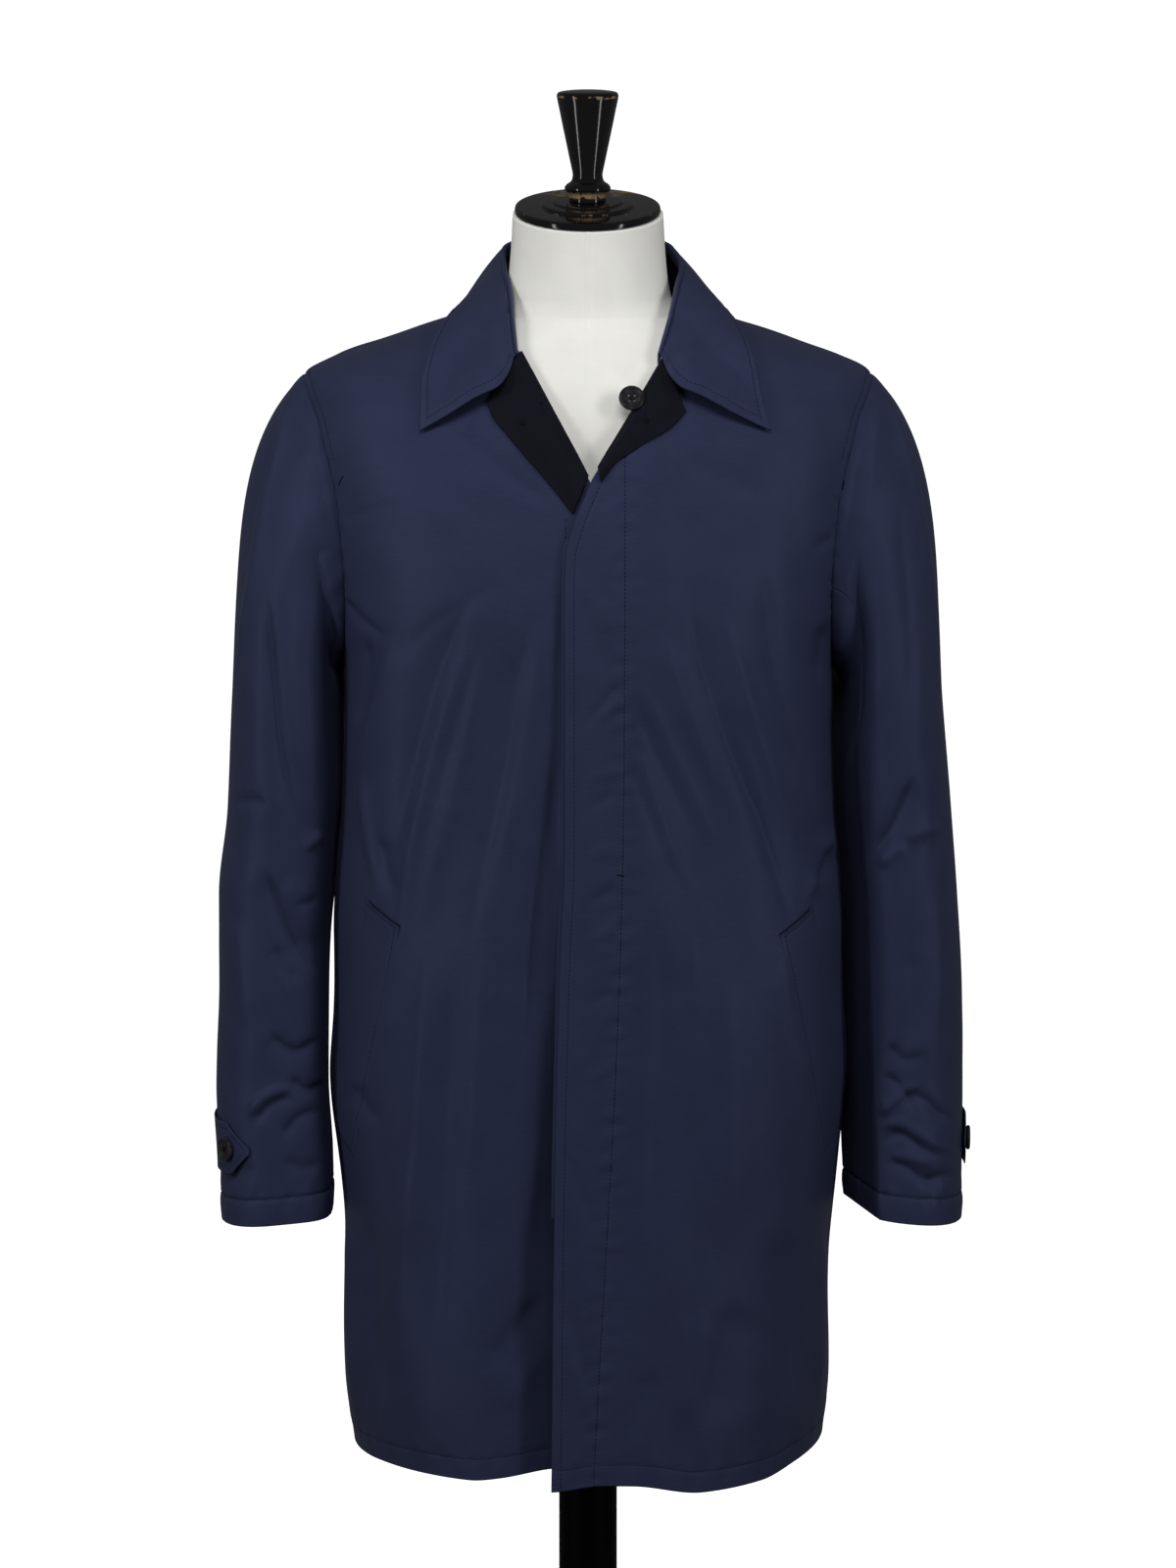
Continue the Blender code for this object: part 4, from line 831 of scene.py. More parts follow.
# %% Creases of the fronts
# line in the picture, half width in pixels, depth in millimetres, lean
CREASES_R = [
    ([(346, 530), (372, 522), (415, 512)], 6, -0.7, 0.2),
    ([(404, 672), (438, 640), (478, 612), (520, 590)], 13, -0.7, 0.3),
    ([(348, 606), (366, 628), (384, 643), (400, 651)], 5, -1.3, 0.3),
    ([(400, 646), (395, 668), (387, 705), (374, 755), (362, 800)], 11, 1.6, -0.6),
    ([(372, 640), (374, 690), (362, 752)], 9, -1.8),
    ([(370, 788), (375, 836), (382, 886), (386, 912)], 5, 1.8),
    ([(387, 850), (394, 891), (407, 920)], 8, -1.8),
    ([(486, 600), (448, 682), (423, 773), (405, 859), (386, 905)], 14, -2.6, 0.25),
    ([(484, 640), (455, 727), (437, 791), (423, 845), (414, 909), (405, 985)], 6, 1.1),
    ([(490, 655), (466, 736), (450, 791), (437, 845), (421, 905)], 6, -0.9),
    ([(500, 640), (480, 736), (462, 818), (444, 886), (430, 960)], 8, 1.0),
    ([(548, 610), (525, 705), (514, 782), (500, 845), (489, 909), (478, 985)], 12, -2.0, 0.2),
    ([(560, 625), (544, 718), (530, 791), (521, 845), (508, 915)], 9, 1.2),
    ([(568, 740), (562, 827), (553, 900), (544, 977), (534, 1090)], 12, -2.2, -0.2),
    ([(560, 980), (552, 1060), (545, 1160), (534, 1290)], 14, 2.2, -0.3),
    ([(496, 1400), (522, 1362), (558, 1316)], 17, -1.5, 0.3),
    ([(510, 1440), (536, 1404), (562, 1372)], 16, 0.8),
    ([(588, 540), (578, 590), (572, 660), (570, 760), (568, 880), (566, 1010)], 4, -1.6),
    ([(359, 1215), (360, 1350), (366, 1478)], 7, 2.6),
    ([(380, 1215), (382, 1350), (386, 1478)], 10, -2.4),
    ([(470, 960), (458, 1080), (448, 1280), (440, 1440)], 20, -2.2),
    ([(440, 940), (430, 1080), (422, 1200), (416, 1330)], 12, 1.4),
    ([(500, 940), (488, 1080), (476, 1230)], 9, 1.0),
    ([(420, 1160), (412, 1280), (410, 1420)], 16, 1.6),
    ([(360, 1105), (374, 1130), (392, 1150)], 9, -1.4),
    ([(452, 432), (511, 479), (572, 522)], 13, -1.5, -0.3),
]
CREASES_L = [
    ([(704, 600), (710, 650), (730, 718), (757, 791), (780, 845), (798, 909), (814, 965)], 12, -2.4, -0.25),
    ([(672, 640), (694, 705), (716, 764), (732, 815)], 9, 1.4),
    ([(645, 705), (671, 773), (694, 818), (714, 865)], 6, -1.0),
    ([(650, 692), (680, 755), (707, 814), (733, 870)], 7, 1.1),
    ([(645, 755), (666, 814), (685, 864), (709, 915)], 6, 1.0),
    ([(641, 770), (662, 827), (680, 880)], 6, -1.0),
    ([(748, 735), (771, 800), (789, 855), (805, 915)], 5, 1.2),
    ([(775, 573), (785, 627), (794, 691), (816, 773), (837, 830)], 16, -1.8),
    ([(736, 620), (760, 700), (790, 790), (806, 850)], 10, 1.2),
    ([(855, 550), (842, 553), (828, 560)], 6, -1.4),
    ([(854, 640), (852, 690), (848, 745)], 7, 1.6),
    ([(842, 632), (837, 668), (834, 700)], 8, -1.8),
    ([(850, 840), (835, 886), (819, 927)], 7, 1.6),
    ([(848, 862), (832, 905)], 9, -2.2),
    ([(797, 955), (804, 1020), (818, 1078), (830, 1130)], 8, 1.4),
    ([(668, 930), (676, 1030), (672, 1140), (662, 1280)], 20, -1.8),
    ([(702, 930), (708, 1060), (704, 1200)], 11, 1.2),
    ([(740, 990), (748, 1120), (744, 1290)], 26, 1.8),
    ([(573, 1168), (596, 1225), (613, 1272)], 6, -0.7),
    ([(578, 1320), (591, 1378), (608, 1445)], 6, -0.8),
    ([(573, 1340), (585, 1398), (602, 1460)], 6, 0.7),
    ([(668, 1395), (650, 1440), (640, 1480)], 13, -0.8),
    ([(752, 1320), (736, 1390), (716, 1470)], 22, -1.3, -0.3),
    ([(720, 1330), (704, 1400), (690, 1470)], 18, 0.9),
    ([(798, 1240), (806, 1350), (800, 1450)], 14, -1.9),
    ([(838, 1250), (836, 1350), (834, 1445)], 8, 1.9),
    ([(648, 440), (710, 472), (796, 516)], 13, -1.3, -0.3),
    ([(589, 600), (606, 650), (614, 700)], 6, -0.9),
    ([(612, 608), (624, 652)], 5, 0.7),
    ([(636, 693), (616, 718), (596, 744)], 5, -1.0),
    ([(635, 712), (607, 738)], 5, 0.9),
]
FLY_PUCKERS = [(784, 9), (808, 13), (862, 9), (905, 12), (948, 8), (1010, 12), (1090, 9)]
for number, (top, drop) in enumerate(FLY_PUCKERS):
    shift = 26 * smooth_step(900, 1500, top)
    strength = -0.7 if number % 2 else 0.6
    line = [(632 - shift, top), (618 - shift, top + drop * 0.6), (598 - shift * 0.6, top + drop * 1.4)]
    CREASES_L.append((line, 5, strength))
print("creases:", len(CREASES_R), "on the right front,", len(CREASES_L), "on the left")

# %% Fronts
FRONT_CREASE_GAIN = 1.9
FRONT_COLUMNS = 78
STITCH_LINES = []
FRONT_FACES = {}
# x and heights of the short line that shows beside the right edge
FACING_X = -0.0172
FACING_Z = (1.300, 1.346)
# heights where stitched lines start, end or fade
ARM_STITCH_Z = (1.37, 1.39)
ARM_STITCH_FROM = 1.383
FLY_STITCH_TOP = 1.37
PLACKET_FADE_Z = (1.42, 1.39)
PLACKET_TOP = 1.395
LINE_STEP = 0.003
HEM_ENDS = (0.004, 0.004)


def line_at(points, edge, way, skip_first=0.0, skip_last=0.0):
    """Points of a grid at one distance from an edge, with the ends left off."""
    far = edge_way(points, edge)
    if edge in ("low", "high"):
        far, points = far.T, np.swapaxes(points, 0, 1)
    line = []
    for row, here in zip(far, points):
        order = np.argsort(row)
        line.append([np.interp(way, row[order], here[order, k]) for k in range(3)])
    line = np.array(line)
    run = np.concatenate([[0], np.cumsum(np.linalg.norm(np.diff(line, axis=0), axis=1))])
    return line[(run >= skip_first) & (run <= run[-1] - skip_last)]


# %% One front


def front(name, side, table, seed):
    """Plain shape, then creases, stitched lines and the turned seam."""
    r = front_rows()
    edge_a, edge_z, seam_a, seam_z = front_lines(side, r)
    s = np.linspace(0, 1, 121)
    angle = side * (edge_a[:, None] + (seam_a - edge_a)[:, None] * s)
    z = edge_z[:, None] + (seam_z - edge_z)[:, None] * s
    near_edge = np.concatenate([SUPPORT[:3], around(EDGE_STITCH)])
    if side > 0:
        x = section_point(BODY, side * edge_a, edge_z)[:, 0]
        fly = np.clip(PLACKET_LINE.at(edge_z)[:, 0] - x, 0.018, 1.0)[:, None]
        inner = fly * np.linspace(0.22, 0.93, 12)
        near_edge = np.hstack([np.tile(near_edge, (len(r), 1)), inner, fly + around(0.0)])
        near_edge = np.sort(near_edge, axis=1)
    near_seam = np.concatenate([SUPPORT, around(ARM_STITCH)])
    s = spread_columns(section_point(BODY, angle, z), near_edge, near_seam, FRONT_COLUMNS)
    angle = side * (edge_a[:, None] + (seam_a - edge_a)[:, None] * s)
    z = edge_z[:, None] + (seam_z - edge_z)[:, None] * s
    hem_angle = side * (edge_a[0] + (seam_a[0] - edge_a[0]) * s)
    hem_x = side * section_point(BODY, hem_angle, 0 * s + HEM_Z)[..., 0]
    z = z + np.clip(1 - r / SKIRT, 0, 1)[:, None] * (HEM[side].at(hem_x)[..., 0] - HEM_Z)
    points = body_surface(angle, z, side)
    out = body_normal(angle, z, side)
    hem_way, seam_way, free_way = (edge_way(points, e) for e in ("low", "last", "first"))
    calm = smooth_step(0.0, 0.012, seam_way) * smooth_step(0.0, 0.03, hem_way)
    height = creased(points, out, table) * FRONT_CREASE_GAIN * calm
    height = height + drape(points, seed, 0.0004) * calm
    height = height + groove(hem_way, HEM_STITCH, GROOVE_WIDTH, 0.0003)
    height = height + pucker(free_way, hem_way - HEM_STITCH, seed + 1, 0.00035, 0.010, 0.020)
    arm = smooth_step(ARMPIT_Z + 0.02, ARMPIT_Z + 0.06, z)
    height = height + groove(seam_way, ARM_STITCH, GROOVE_WIDTH, 0.0004) * smooth_step(*ARM_STITCH_Z, z)
    height = height + pucker(hem_way, seam_way - 0.004, seed + 2, 0.0003, 0.007) * arm
    height = height + seam_turn(points, ("last", "high"))
    if side > 0:
        height = height + groove(free_way, EDGE_STITCH, GROOVE_WIDTH, 0.0004)
        aside = points[..., 0] - PLACKET_LINE.at(z)[..., 0]
        below = smooth_step(*PLACKET_FADE_Z, z)
        height = height + groove(aside, 0.0, GROOVE_WIDTH, 0.0010) * below
        height = height + pucker(hem_way, aside, seed + 3, 0.0004, 0.011, 0.015) * below
    points = points + out * height[..., None]
    made = cloth(name, points, out, free=("low", "first"))
    normals = grid_normals(points, out)
    add_front_stitches(side, points, normals)
    return made


# %% Stitched lines of the fronts


def upright_line(raised, x, z):
    """Points on the face of a front with these x and heights."""
    flat = raised.reshape(-1, 3)
    line = []
    for want_x, want_z in zip(x, z):
        near = np.argsort((flat[:, 0] - want_x) ** 2 + (flat[:, 2] - want_z) ** 2)[:3]
        line.append([want_x, flat[near, 1].mean(), want_z])
    return np.array(line)


def add_front_stitches(side, points, normals):
    raised = points + normals * CLOTH_THICK / 2
    STITCH_LINES.append(line_at(raised, "low", HEM_STITCH, *HEM_ENDS))
    arm = line_at(raised, "last", ARM_STITCH)
    STITCH_LINES.append(arm[arm[:, 2] > ARM_STITCH_FROM])
    if side > 0:
        fly_edge = line_at(raised, "first", EDGE_STITCH, 0.003)
        STITCH_LINES.append(fly_edge[fly_edge[:, 2] < FLY_STITCH_TOP])
        z = np.arange(HEM_Z + HEM_ENDS[0], PLACKET_TOP, LINE_STEP)
        STITCH_LINES.append(upright_line(raised, PLACKET_LINE.at(z)[:, 0], z))
    else:
        z = np.arange(*FACING_Z, LINE_STEP)
        STITCH_LINES.append(upright_line(raised, np.full(len(z), FACING_X), z))
    FRONT_FACES[side] = (raised, normals)


FRONT_TABLES = {"R": (-1, CREASES_R, 11), "L": (1, CREASES_L, 23)}
for mark, row in FRONT_TABLES.items():
    finish_cloth(front("front_" + mark, *row), "front_" + mark)

# %% [markdown]
# The back is out of sight in the picture. It is one plain panel from side to side, with the long
# soft folds such a coat has below the shoulder blades and short ones at the armholes.

# %% Back
NECK_COL = 4 / 18
CREASES_BACK = [
    ([(540, 470), (520, 640), (505, 860), (498, 1120), (492, 1400)], 30, -4.2, 0.2),
    ([(590, 560), (584, 800), (572, 1100), (566, 1420)], 34, 3.0),
    ([(668, 500), (690, 700), (705, 960), (716, 1260), (720, 1440)], 30, -4.4, -0.2),
    ([(735, 640), (768, 840), (790, 1100), (796, 1380)], 26, 3.2),
    ([(352, 560), (380, 600), (424, 640), (450, 720)], 13, -3.8, 0.3),
    ([(850, 566), (820, 610), (780, 652), (752, 730)], 13, -3.8, -0.3),
    ([(356, 640), (392, 690), (408, 770), (404, 880)], 12, -3.0),
    ([(852, 650), (822, 700), (806, 790), (812, 900)], 12, -3.0),
    ([(420, 800), (432, 960), (424, 1160), (410, 1380)], 22, -3.2),
    ([(610, 900), (622, 1100), (616, 1300)], 22, -2.4),
    ([(450, 420), (520, 452), (600, 458), (680, 452), (752, 420)], 18, -1.8),
    ([(472, 520), (440, 640), (420, 780), (405, 930)], 8, -2.6, 0.2),
    ([(502, 560), (472, 690), (450, 830), (436, 980)], 7, 2.0),
    ([(734, 512), (760, 640), (780, 780), (794, 950)], 8, -2.6, -0.2),
    ([(706, 556), (728, 690), (752, 830), (770, 960)], 7, 2.0),
    ([(602, 640), (596, 820), (603, 1040)], 8, 2.0),
    ([(642, 700), (650, 900), (645, 1160)], 8, -2.2),
    ([(546, 980), (538, 1150), (542, 1360)], 9, 2.0),
    ([(690, 1100), (698, 1260), (694, 1420)], 10, -2.0),
]
BACK_CREASE_GAIN = 1.4
BACK_COLUMNS = 100


def back():
    r = front_rows()
    left_a, left_z = seam_line(r, -1)
    fan = np.clip((r - SKIRT) / (NECK_END - SKIRT), 0, 1) ** 2
    dense = np.linspace(0, 1, 181)

    def spot(p):
        """Angle and height at a share of the way round, for every row."""
        neck = np.clip((p - NECK_COL) / (1 - 2 * NECK_COL), 0, 1)
        rise = np.clip(np.minimum(p, 1 - p) / NECK_COL, 0, 1)
        part = p + (neck - p) * fan[:, None]
        angle = left_a[:, None] + (2 * math.pi - 2 * left_a)[:, None] * part
        even = np.interp(r, [0, SKIRT, NECK_END], [HEM_Z, ARMPIT_Z, TIP_Z])[:, None]
        inside = 1 - (2 * p - 1) ** 2
        z = left_z[:, None] + (even - left_z[:, None]) * inside
        z = z + (NECK_POINT_Z - TIP_Z) * rise * fan[:, None]
        hem = HEM_BACK_LINE.at(p)[..., 0] - HEM_Z
        return angle, z + np.clip(1 - r / SKIRT, 0, 1)[:, None] * hem

    angle, z = spot(np.tile(dense, (len(r), 1)))
    near = np.concatenate([SUPPORT, around(ARM_STITCH)])
    p = spread_columns(section_point(BODY, angle, z), near, near, BACK_COLUMNS)
    angle, z = spot(p)
    points = body_surface(angle, z, 0)
    out = body_normal(angle, z, 0)
    hem_way = edge_way(points, "low")
    seam_way = inset(points, ("first", "last"))
    calm = smooth_step(0.0, 0.012, seam_way) * smooth_step(0.0, 0.03, hem_way)
    calm = calm * smooth_step(0.0, 0.02, edge_way(points, "high"))
    height = creased(points, out, CREASES_BACK, seen_behind, 1.0) * BACK_CREASE_GAIN * calm
    height = height + drape(points, 37, 0.0006) * calm
    height = height + groove(hem_way, HEM_STITCH, GROOVE_WIDTH, 0.0003)
    height = height + pucker(edge_way(points, "first"), hem_way - HEM_STITCH, 38, 0.00035, 0.010, 0.020)
    height = height + seam_turn(points, ("first", "last", "high"))
    points = points + out * height[..., None]
    raised = points + grid_normals(points, out) * CLOTH_THICK / 2
    STITCH_LINES.append(line_at(raised, "low", HEM_STITCH, *HEM_ENDS))
    return cloth("back", points, out, free=("low",))


finish_cloth(back(), "back")

# %% [markdown]
# A sleeve is two pieces, a top and an under sleeve. Below the armpit it is a stack of rounded rings;
# above, each column flows from the armhole seam into the first ring. The elbow and the cuff carry
# the strongest creases, and the other side gets similar ones.

# %% Sleeve tables
# height, inner x, outer x, middle y, half depth
SLEEVE_R = [
    (1.190, 0.1965, 0.2805, 0.006, 0.0800),
    (1.100, 0.1982, 0.2860, 0.004, 0.0760),
    (1.030, 0.2050, 0.2938, 0.000, 0.0710),
    (0.960, 0.2075, 0.2935, -0.006, 0.0670),
    (0.880, 0.2085, 0.2965, -0.015, 0.0610),
    (0.820, 0.2050, 0.2930, -0.023, 0.0555),
    (0.780, 0.2045, 0.2925, -0.028, 0.0530),
]
SLEEVE_L = [
    (1.190, 0.1965, 0.2800, 0.006, 0.0800),
    (1.100, 0.1982, 0.2880, 0.004, 0.0760),
    (1.030, 0.2050, 0.2935, 0.000, 0.0710),
    (0.960, 0.2062, 0.2975, -0.005, 0.0670),
    (0.880, 0.2075, 0.2990, -0.013, 0.0610),
    (0.820, 0.2100, 0.2985, -0.020, 0.0555),
    (0.780, 0.2115, 0.2985, -0.024, 0.0530),
]
# height, half height, depth, middle angle, half angle in degrees
SLEEVE_DENTS = [(1.085, 0.022, 0.0045, 80.0, 45.0), (1.005, 0.024, 0.0040, 70.0, 45.0),
                (0.890, 0.020, 0.0040, 105.0, 55.0)]
SLEEVE_SKEW = 0.04
SKEW_Z = (0.950, 1.120)
SLEEVE_SQUARE = 2.25
INNER_SQUARE = {-1: 5.0, 1: 2.25}
CUFF_TILT = 0.10
CUFF_TILT_FROM = 0.12
CAP_START_PULL = 0.96
CAP_PULL = 0.85
HEAD_STEP = 0.010
CUFF_STITCH = 0.021
SLEEVE_CREASE_GAIN = 1.35
FRONT_SEAM = {-1: 30.0, 1: 60.0}
BACK_SEAM = 300.0
# The inner side of a sleeve hangs flat between two angles and reaches towards the body there:
# first angle, last angle, reach, heights where it starts and is full, where it wanes and ends
FLAT_SIDE = {-1: (44.0, -50.0, 0.0035, 0.960, 1.060, 1.60, 1.70),
             1: (63.0, -50.0, 0.0050, 0.700, 0.760, 1.60, 1.70)}
FLAT_BLEND = 50.0
DENT_GAIN = 0.35

# %% Creases of the sleeves
CREASES_SLEEVE_R = [
    ([(315, 380), (295, 411), (283, 462), (267, 529), (258, 590), (248, 648), (238, 715)], 6, 2.6, -0.3),
    ([(311, 384), (322, 450), (334, 520), (347, 566)], 6, -1.8),
    ([(318, 400), (326, 470), (345, 545)], 10, 1.6),
    ([(348, 562), (336, 562), (325, 568), (330, 600), (343, 648), (341, 690), (345, 760), (350, 815)],
     7, -4.0, 0.3),
    ([(272, 600), (276, 660), (280, 705), (286, 766), (299, 822), (317, 848), (330, 838)], 9, -4.4, 0.35),
    ([(304, 590), (308, 690), (316, 770), (322, 822)], 13, 3.0),
    ([(238, 820), (254, 817), (274, 822)], 7, -2.2),
    ([(330, 850), (318, 858), (310, 870)], 7, 2.6),
    ([(268, 884), (276, 905), (291, 949), (308, 980), (328, 990)], 10, -4.4, 0.35),
    ([(296, 890), (308, 930), (322, 968)], 11, 2.4),
    ([(300, 920), (312, 922), (326, 914)], 5, -1.8),
    ([(278, 962), (292, 990), (312, 1004)], 9, -2.4),
    ([(242, 930), (250, 1000), (256, 1060)], 14, 1.8),
    ([(276, 1050), (284, 1064), (304, 1072), (330, 1056)], 8, -3.0, 0.3),
    ([(252, 1142), (262, 1126), (276, 1115), (292, 1110), (302, 1114)], 6, 3.2, 0.4),
    ([(258, 1150), (272, 1130), (290, 1122), (304, 1126)], 6, -2.6),
    ([(296, 1096), (304, 1108), (318, 1112), (334, 1102)], 6, -3.0),
    ([(286, 1164), (304, 1140), (330, 1132)], 7, -2.6, 0.3),
    ([(232, 1208), (246, 1197), (264, 1191)], 6, -1.6),
    ([(286, 1184), (308, 1192), (332, 1186)], 7, -1.8),
]
CREASES_SLEEVE_L = [
    ([(892, 384), (903, 402), (914, 426), (926, 466), (938, 521), (948, 590), (955, 650), (964, 740)],
     6, 2.6, 0.3),
    ([(889, 384), (880, 450), (868, 520), (858, 566)], 6, -1.8),
    ([(898, 400), (888, 470), (878, 545)], 10, 1.4),
    ([(876, 556), (874, 610), (876, 665), (871, 730), (862, 795)], 8, -4.6),
    ([(898, 560), (900, 660), (896, 760)], 13, 2.4),
    ([(916, 500), (926, 600), (930, 680), (922, 770)], 12, -2.2),
    ([(934, 790), (916, 832), (900, 858), (880, 884)], 9, -3.8, -0.3),
    ([(926, 862), (908, 872), (896, 886)], 8, 2.4),
    ([(922, 856), (942, 847), (962, 846)], 10, 2.2),
    ([(926, 960), (932, 1020), (926, 1080)], 12, -2.0),
    ([(954, 900), (958, 980), (956, 1060)], 13, 1.8),
    ([(898, 1096), (914, 1104), (928, 1122), (934, 1140)], 6, -2.6, 0.3),
    ([(902, 1064), (924, 1082), (948, 1074)], 8, -2.4),
    ([(894, 1136), (908, 1128), (924, 1112), (940, 1106)], 6, 2.8),
    ([(922, 1112), (944, 1122), (962, 1138), (978, 1142)], 6, -3.0, 0.3),
    ([(896, 1152), (916, 1146), (934, 1156), (958, 1170), (976, 1172)], 6, 2.6),
    ([(898, 1166), (920, 1158), (940, 1172), (960, 1182)], 6, -3.0, -0.3),
    ([(900, 1184), (922, 1190), (944, 1204), (966, 1196)], 6, -2.8),
    ([(908, 1178), (932, 1182), (956, 1190)], 6, 2.0),
    ([(944, 1210), (958, 1202), (974, 1200)], 6, -2.0),
]
print("creases:", len(CREASES_SLEEVE_R), "on the right sleeve,", len(CREASES_SLEEVE_L), "on the left")

# %% Sleeve rings and columns
CAP_ROWS = 60
ARM_ROWS = 138


class Sleeve:
    """Points of one sleeve by angle from its inner side, round by the front."""

    def __init__(self, side, table):
        self.side = side
        self.rings = Profile(table)
        self.low, self.high = self.rings.t[0], self.rings.t[-1]
        self.hole = HOLES[side]

    def ring(self, turn, z):
        point = self.round_ring(turn, z)
        first, last, reach, start_z, full_z, wane_z, end_z = FLAT_SIDE[self.side]
        use = (smooth_step(start_z, full_z, z) * smooth_step(end_z, wane_z, z))[..., None]
        swing = (np.degrees(turn) + 180) % 360 - 180
        start = self.round_ring(0 * turn + math.radians(first), z)
        end = self.round_ring(0 * turn + math.radians(last), z)
        shift = np.zeros_like(end)
        shift[..., 0] = self.side * (self.rings.at(z)[..., 0] - reach) - end[..., 0]
        share = ((first - swing) / (first - last))[..., None]
        flat = start + (end + shift - start) * share
        wane = smooth_step(last - FLAT_BLEND, last, swing)[..., None]
        bent = np.where(share > 1, point + shift * wane, flat)
        return np.where(share > 0, point + (bent - point) * use, point)

    def round_ring(self, turn, z):
        inner, outer, middle_y, half_d = np.moveaxis(self.rings.at(z), -1, 0)
        half_w = (outer - inner) / 2
        inside = (np.cos(turn) > 0) & (np.sin(turn) > 0)
        square = np.where(inside, INNER_SQUARE[self.side], SLEEVE_SQUARE)
        size = np.abs(np.cos(turn) / half_w) ** square + np.abs(np.sin(turn) / half_d) ** square
        size = size ** (-1 / square)
        for height, half, depth, middle, half_angle in SLEEVE_DENTS:
            swing = (np.degrees(turn) % 360 - middle) / half_angle
            size = size - DENT_GAIN * depth * np.exp(-(((z - height) / half) ** 2) - swing ** 2)
        x = (inner + outer) / 2 - size * np.cos(turn)
        y = middle_y - size * np.sin(turn)
        x = x - SLEEVE_SKEW * smooth_step(*SKEW_Z, z) * (y - middle_y)
        tilt = CUFF_TILT * smooth_step(self.low + CUFF_TILT_FROM, self.low, z) * (x - inner)
        return np.stack([self.side * x, y, z - tilt], axis=-1)

    def columns(self, turn):
        """Whole columns from the armhole to the cuff."""
        where = turn / (2 * math.pi) * 2 * ARM_COLS
        low = np.floor(where).astype(int)
        part = (where - low)[:, None]

        def pick(values):
            count = 2 * ARM_COLS
            return values[low % count] * (1 - part) + values[(low + 1) % count] * part

        start = pick(self.hole.point + self.hole.mitre * HALF_GAP)
        head = self.ring(turn, np.full(len(turn), self.high))
        reach = np.linalg.norm(head - start, axis=-1, keepdims=True)
        leave = unit(pick(self.hole.leave)) * reach * CAP_START_PULL
        below = self.ring(turn, np.full(len(turn), self.high - HEAD_STEP))
        arrive = unit(below - head) * reach * CAP_PULL
        cap = np.concatenate([[0, 0.003, 0.008, 0.016, 0.028, 0.043], np.linspace(0.06, 1, CAP_ROWS)])
        rows = [hermite(t, start, leave, head, arrive) for t in cap]
        cuff = self.low + np.concatenate([SUPPORT, [0.0065, 0.011, 0.0155], around(CUFF_STITCH), [0.026]])
        for z in np.concatenate([np.linspace(self.high, cuff[-1], ARM_ROWS)[1:], cuff[::-1][1:]]):
            rows.append(self.ring(turn, np.full(len(turn), z)))
        return np.array(rows)


SLEEVES = {1: Sleeve(1, SLEEVE_L), -1: Sleeve(-1, SLEEVE_R)}
print("sleeves from", SLEEVES[1].low, "to", SLEEVES[1].high, "m, and the caps above")

# %% Sleeves
TOP_COLUMNS = 134
UNDER_COLUMNS = 34
# columns behind, where the top sleeve is out of sight, and the angles that part the two sets
FAR_COLUMNS = 28
NEAR_TO, FAR_FROM = 185, 189
# angles of the columns beside a seam, in degrees
BY_SEAM = np.array([0.0, 0.6, 1.6, 3.0])
SEAM_INSET = 5
BEHIND_SHARE = 0.85
# height above which the long seams fade, and what is left of them there
SEAM_FADE_Z = (1.14, 1.04)
SEAM_LEFT = 0.15


def sleeve_piece(name, side, first, last, count, creases, behind, seed):
    start, end = first + SEAM_INSET, last - SEAM_INSET
    middle = np.linspace(start, end, count)
    if first < 180 < last:
        near = np.linspace(start, NEAR_TO, count - FAR_COLUMNS)
        middle = np.concatenate([near, np.linspace(FAR_FROM, end, FAR_COLUMNS)])
    turn = np.concatenate([first + BY_SEAM, middle, (last - BY_SEAM)[::-1]])
    points = SLEEVES[side].columns(np.radians(turn))
    middle = points.mean(axis=1, keepdims=True)
    out = grid_normals(points, points - middle)
    head_way, cuff_way, round_way = (edge_way(points, edge) for edge in ("low", "high", "first"))
    calm = smooth_step(0.0, 0.010, head_way) * smooth_step(0.0, 0.025, cuff_way)
    by_seam = smooth_step(0.0, 0.010, inset(points, ("first", "last")))
    height = creased(points, out, creases)
    height = height + creased(points, out, behind, seen_behind, 1.0) * BEHIND_SHARE
    height = height * SLEEVE_CREASE_GAIN * calm + drape(points, seed, 0.0004) * calm * by_seam
    height = height + groove(cuff_way, CUFF_STITCH, GROOVE_WIDTH, 0.0012)
    height = height + groove(cuff_way, 0.011, 0.008, -0.0007)
    height = height + pucker(round_way, cuff_way - CUFF_STITCH, seed + 1, 0.0004, 0.012, 0.016)
    height = height + groove(head_way, 0.009, 0.006, -0.0004)
    height = height + pucker(round_way, head_way, seed + 2, 0.0003, 0.018, 0.024)
    height = height + seam_turn(points, ("low",))
    long_seams = SEAM_LEFT + (1 - SEAM_LEFT) * smooth_step(*SEAM_FADE_Z, points[..., 2])
    height = height + seam_turn(points, ("first", "last")) * long_seams
    points = points + out * height[..., None]
    raised = points + grid_normals(points, out) * CLOTH_THICK / 2
    STITCH_LINES.append(line_at(raised, "high", CUFF_STITCH, 0.003, 0.003))
    return cloth(name, points, out, free=("high",))


SLEEVE_CREASES = {-1: (CREASES_SLEEVE_R, CREASES_SLEEVE_L), 1: (CREASES_SLEEVE_L, CREASES_SLEEVE_R)}
for side, mark in ((-1, "R"), (1, "L")):
    seam = FRONT_SEAM[side]
    ahead, behind = SLEEVE_CREASES[side]
    top = sleeve_piece("sleeve_top_" + mark, side, seam, BACK_SEAM, TOP_COLUMNS, ahead, behind, 50 + side)
    finish_cloth(top, "sleeve_top_" + mark)
    under = sleeve_piece("sleeve_under_" + mark, side, BACK_SEAM, seam + 360, UNDER_COLUMNS,
                         ahead, behind, 60 + side)
    finish_cloth(under, "sleeve_under_" + mark)

